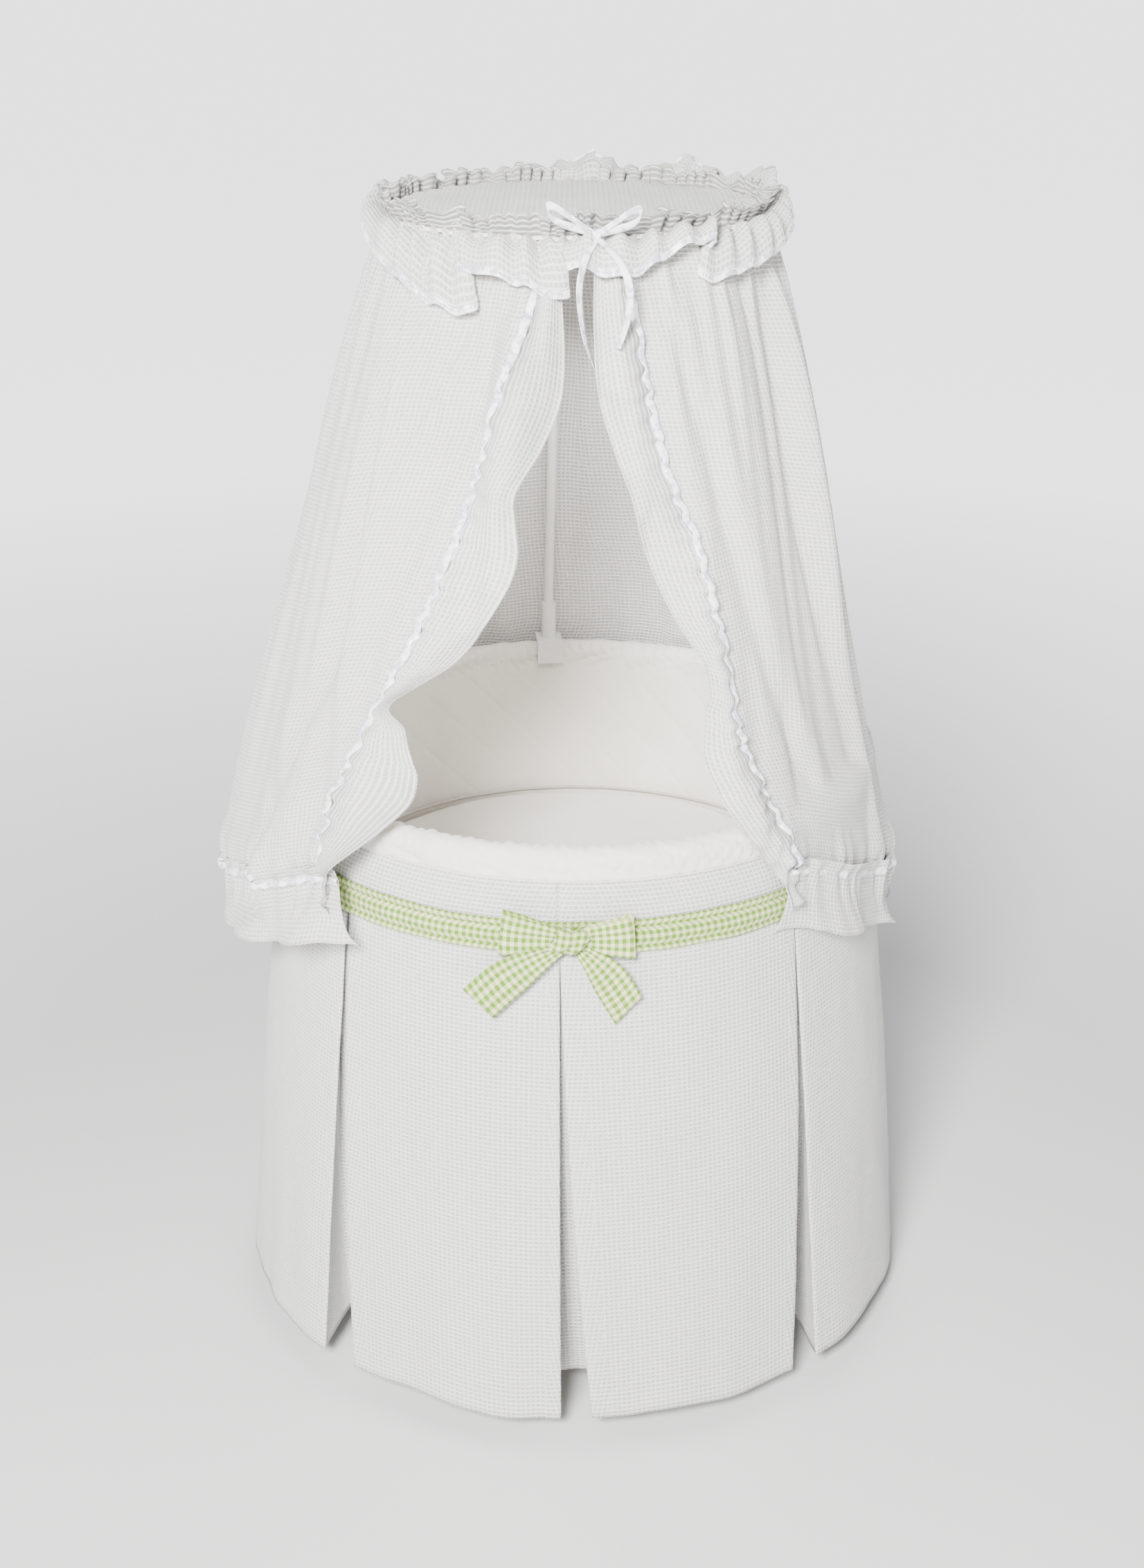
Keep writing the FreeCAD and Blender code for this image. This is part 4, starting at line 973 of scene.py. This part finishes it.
def frill_rows(steps=1500, levels=10):
    """The stand-up frill above the gathering line."""
    rows = [[] for _ in range(levels + 1)]
    for i in range(steps):
        theta = TAU * i / steps
        swing = 60 * theta + 3.0 * sin(theta * 7 + 1) + 2.2 * sin(theta * 13)
        size = 1 + 0.35 * sin(theta * 11 + 2) + 0.3 * sin(theta * 5)
        tight = 130 * theta + 3 * sin(theta * 9)
        height = 0.024 + 0.0035 * sin(theta * 17) + 0.002 * sin(theta * 31 + 1)
        near = bump(math.degrees(math.remainder(theta - rad(5), TAU)), 0, 4.5)
        for j in range(levels + 1):
            t = j / levels
            open_out = t ** 0.6
            r = RING_RADIUS + 0.0075 * t + 0.01 * size * sin(swing) * open_out
            r += 0.0007 * sin(tight) * (1 - t) + 0.006 * near * t
            curl = -0.017 * size * sin(2 * swing) * open_out
            turn = theta + curl * (1 - near)
            z = RING_HEIGHT + height * sin(pi * 0.5 * t)
            z += -0.005 * cos(swing) ** 2 * t + 0.004 * near * t
            rows[j].append(polar(turn, r, z))
    return rows


frill = canopy_cloth("header_frill", frill_rows(), closed=True, thick=0.0009)

gather_line = []
for i in range(901):
    reach = RING_RADIUS + 0.0042 + 0.0009 * sin(i * 1.05)
    gather_line.append(polar(TAU * i / 900, reach, RING_HEIGHT - 0.0005 + 0.0008 * sin(i * 0.31)))
upright = [Vector((0, 0, 0.0045))] * len(gather_line)
band("gathering_tie", gather_line, upright, lining, "canopy", 4, crown=0.0012, thick=0)

# ---- bows


def loop_line(knot, tip, swell, count=36):
    """The middle line of a bow's loop, out to its tip and back."""
    line = []
    for i in range(count + 1):
        t = i / count
        along = sin(pi * t) ** 0.8
        side = sin(2 * pi * t) * (0.6 + 0.4 * along)
        line.append(knot + (tip - knot) * along + swell * side)
    return line


def bow_cloth(name, line, acrosses, creases, lean, material, body, columns=13, thick=0.0006):
    """A strip for a bow: creases are (place across, depth, width), and lean is the way a crease sinks."""
    rows = []
    for k in range(columns):
        side = k / (columns - 1) - 0.5
        row = []
        for i, (centre, across) in enumerate(zip(line, acrosses)):
            t = i / (len(line) - 1)
            sink = sum(depth * bump(side, place, width) for place, depth, width in creases)
            sink *= 0.35 + 0.65 * sin(pi * min(t, 1 - t) * 2)
            soft = 0.0006 * wavy(t * 5, side * 3, 50 + len(name))
            row.append(centre + across * side + lean * (sink + soft))
        rows.append(row)
    return cloth(name, rows, material, body, middles=(0.0,), thick=thick)


def knot_cloth(name, centre, size, material, body, wrap=0.25):
    """A rounded, wrinkled knot: size is its half width, half depth and half height."""
    rows, steps = [], 24
    for i in range(steps + 1):
        s = 2 * i / steps - 1
        swell = (1 - abs(s) ** 2.6) ** 0.5 if abs(s) < 1 else 0.0
        row = []
        for j in range(48):
            turn = TAU * j / 48
            crease = 0.13 * sin(3 * turn + 6 * s) + 0.12 * wavy(turn * 2, s * 4, 55)
            reach = max(0.12, swell) * (1 + crease)
            x = centre.x + s * size.x + wrap * size.x * 0.5 * sin(turn)
            row.append(Vector((x, centre.y + size.y * cos(turn) * reach,
                               centre.z + size.z * sin(turn) * reach)))
        rows.append(row)
    return cloth(name, rows, material, body, closed=True, thick=0.0004)


INTO = Vector((0, 1, 0))
knot = Vector((-0.006, -0.3885, 0.6505))
for word, tip, spread_low, spread_high, length in (
    ("left", Vector((-0.084, -0.3835, 0.6585)), 0.017, 0.055, 0.16),
    ("right", Vector((0.066, -0.385, 0.6545)), 0.017, 0.053, 0.145),
):
    line = loop_line(knot, tip, Vector((0, -0.0052, 0)))
    direction = (tip - knot).normalized()
    across = []
    for point in line:
        along = (point - knot).length / (tip - knot).length
        spread = mix(spread_low, spread_high, min(along, 1.0) ** 0.8)
        across.append(Vector((-direction.z, 0, direction.x)) * spread)
    creases = ((0.03, 0.0034, 0.1), (-0.3, 0.0016, 0.08))
    loop = bow_cloth(f"sash_loop_{word}", line, across, creases, INTO, gingham, "stand")

for word, corner_a, corner_b, length in (
    ("left", Vector((-0.127, -0.3895, 0.59)), Vector((-0.093, -0.388, 0.552)), 0.12),
    ("right", Vector((0.075, -0.389, 0.581)), Vector((0.045, -0.3875, 0.544)), 0.1),
):
    line, across = [], []
    start = knot + Vector((-0.004 if word == "left" else 0.006, 0.004, -0.008))
    end = (corner_a + corner_b) / 2
    for i in range(31):
        t = i / 30
        hill = sin(pi * t)
        bulge = Vector((0, -0.004 * hill - 0.0015 * sin(TAU * t), 0.01 * hill))
        line.append(start.lerp(end, t) + bulge * (1 if t < 1 else 0))
        across.append((corner_a - corner_b) * mix(0.22, 1.0, ease(-0.1, 0.75, t)))
    creases = ((0.15, 0.0022, 0.1),)
    tail = bow_cloth(f"sash_tail_{word}", line, across, creases, INTO, gingham, "stand")
knot_size = Vector((0.0205, 0.0105, 0.014))
sash_knot = knot_cloth("sash_knot", knot + Vector((0, -0.0015, 0)), knot_size, gingham, "stand")
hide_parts("sash_bow")

ribbon_knot = Vector((0.021, -0.229, 1.3945))


def ribbon_cloth(name, line, across, crown):
    """A length of the canopy bow's narrow satin ribbon."""
    return bow_cloth(name, line, across, ((0.0, crown, 0.3),), INTO, satin, "canopy",
                     columns=5, thick=RIBBON_THICK)


for word, tip, lift in (
    ("left", Vector((-0.03, -0.239, 1.4215)), -1),
    ("right", Vector((0.068, -0.239, 1.4175)), 1),
):
    line = loop_line(ribbon_knot, tip, Vector((0.1 * lift, -0.55, 0.83)) * 0.0105)
    across = [Vector((0.18 * lift, -0.42, 0.88)) * 0.0105 for _ in line]
    loop = ribbon_cloth(f"ribbon_loop_{word}", line, across, -0.0004)

for word, stations in (
    ("left", ((0.021, -0.233, 1.3915), (0.0105, -0.25, 1.374), (0.004, -0.261, 1.348),
              (0.005, -0.259, 1.318), (0.01, -0.259, 1.29), (0.02, -0.26, 1.262))),
    ("right", ((0.023, -0.233, 1.3915), (0.04, -0.252, 1.378), (0.052, -0.267, 1.36),
               (0.056, -0.27, 1.334), (0.052, -0.269, 1.308), (0.0445, -0.268, 1.284))),
):
    curves = [through(*[(i, s[k]) for i, s in enumerate(stations)]) for k in range(3)]
    line = [Vector([curve(5 * i / 60) for curve in curves]) for i in range(61)]
    twist = 1.15 if word == "left" else -1.2
    turns = [0.2 + twist * i / 60 for i in range(61)]
    across = [Vector((cos(turn), sin(turn), 0)) * 0.0088 for turn in turns]
    tail = ribbon_cloth(f"ribbon_tail_{word}", line, across, -0.0003)
knot_size = Vector((0.006, 0.0045, 0.006))
small_knot = knot_cloth("ribbon_knot", ribbon_knot, knot_size, satin, "canopy")
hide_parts("ribbon_bow")

# ---- floor, light and camera


def floor_material():
    """A pale floor that glows as painted light: faintly within a metre of the object and brightly far off, so
    the dimmer floor round the object is painted shade.
    """
    m = Nodes("floor", (0.72, 0.72, 0.72), 0.6)
    m.paint(m.tint(m.ramp(m.noise(1.2), 0.3, 0.8, 0.0, 0.5), (0.7, 0.7, 0.7)))
    m.shader.inputs["Emission Color"].default_value = (1, 1, 1, 1)
    reach = m.add("VectorMath")
    reach.operation = "LENGTH"
    m.link(m.place(), reach.inputs[0])
    # Painted light: the floor's glow rises with distance from the object, so the floor stays darker round it
    # as painted shade.
    painted_glow = m.ramp(reach.outputs["Value"], 1.0, 4.4, 0.05, 2.4)
    m.link(painted_glow, m.shader.inputs["Emission Strength"])
    return m.material


mesh = bpy.data.meshes.new("floor")
FAR = 80
mesh.from_pydata([(-FAR, -FAR, 0), (FAR, -FAR, 0), (FAR, FAR, 0), (-FAR, FAR, 0)], [], [(0, 1, 2, 3)])
floor = bpy.data.objects.new("floor", mesh)
show(floor)
mesh.materials.append(floor_material())


def lamp(name, place, aim, size, watts, colour=(1, 1, 1)):
    data = bpy.data.lights.new(name, "AREA")
    data.shape, data.size, data.energy, data.color = "DISK", size, watts, colour
    light = bpy.data.objects.new(name, data)
    show(light)
    light.location = place
    light.rotation_euler = (Vector(aim) - Vector(place)).to_track_quat("-Z", "Y").to_euler()
    return light


lamp("front", (-0.75, -3.5, 2.8), (0, 0, 0.85), 1.1, 630, (1.0, 0.995, 0.98))
lamp("fill", (2.9, -1.4, 2.0), (0, 0, 0.8), 1.8, 8, (0.98, 0.985, 1.0))
lamp("back", (0.4, 3.0, 3.0), (0, 0, 0.9), 2.4, 60)
inner = lamp("under_canopy", (0, 0.02, 1.2), (0, 0.06, 0), 0.26, 3.2, (1.0, 0.985, 0.955))
inner.visible_camera = False

world = bpy.data.worlds.new("studio")
world.use_nodes = True
sky = world.node_tree
towards = sky.nodes.new("ShaderNodeTexCoord")
split = sky.nodes.new("ShaderNodeSeparateXYZ")
level = sky.nodes.new("ShaderNodeMapRange")
sky.links.new(towards.outputs["Generated"], split.inputs[0])
sky.links.new(split.outputs[2], level.inputs["Value"])
for key, number in (("From Min", 0.0), ("From Max", 0.28), ("To Min", 2.0), ("To Max", 0.26)):
    level.inputs[key].default_value = number
sky.links.new(level.outputs[0], sky.nodes["Background"].inputs[1])
sky.nodes["Background"].inputs[0].default_value = (1, 1, 1, 1)
bpy.context.scene.world = world

camera_data = bpy.data.cameras.new("camera")
camera_data.lens, camera_data.sensor_width = 48.32, 36
camera = bpy.data.objects.new("camera", camera_data)
show(camera)
camera.location = (-0.004, -2.476, 1.72)
camera.rotation_euler = (pi / 2 - 0.399, 0, 0)
bpy.context.scene.camera = camera
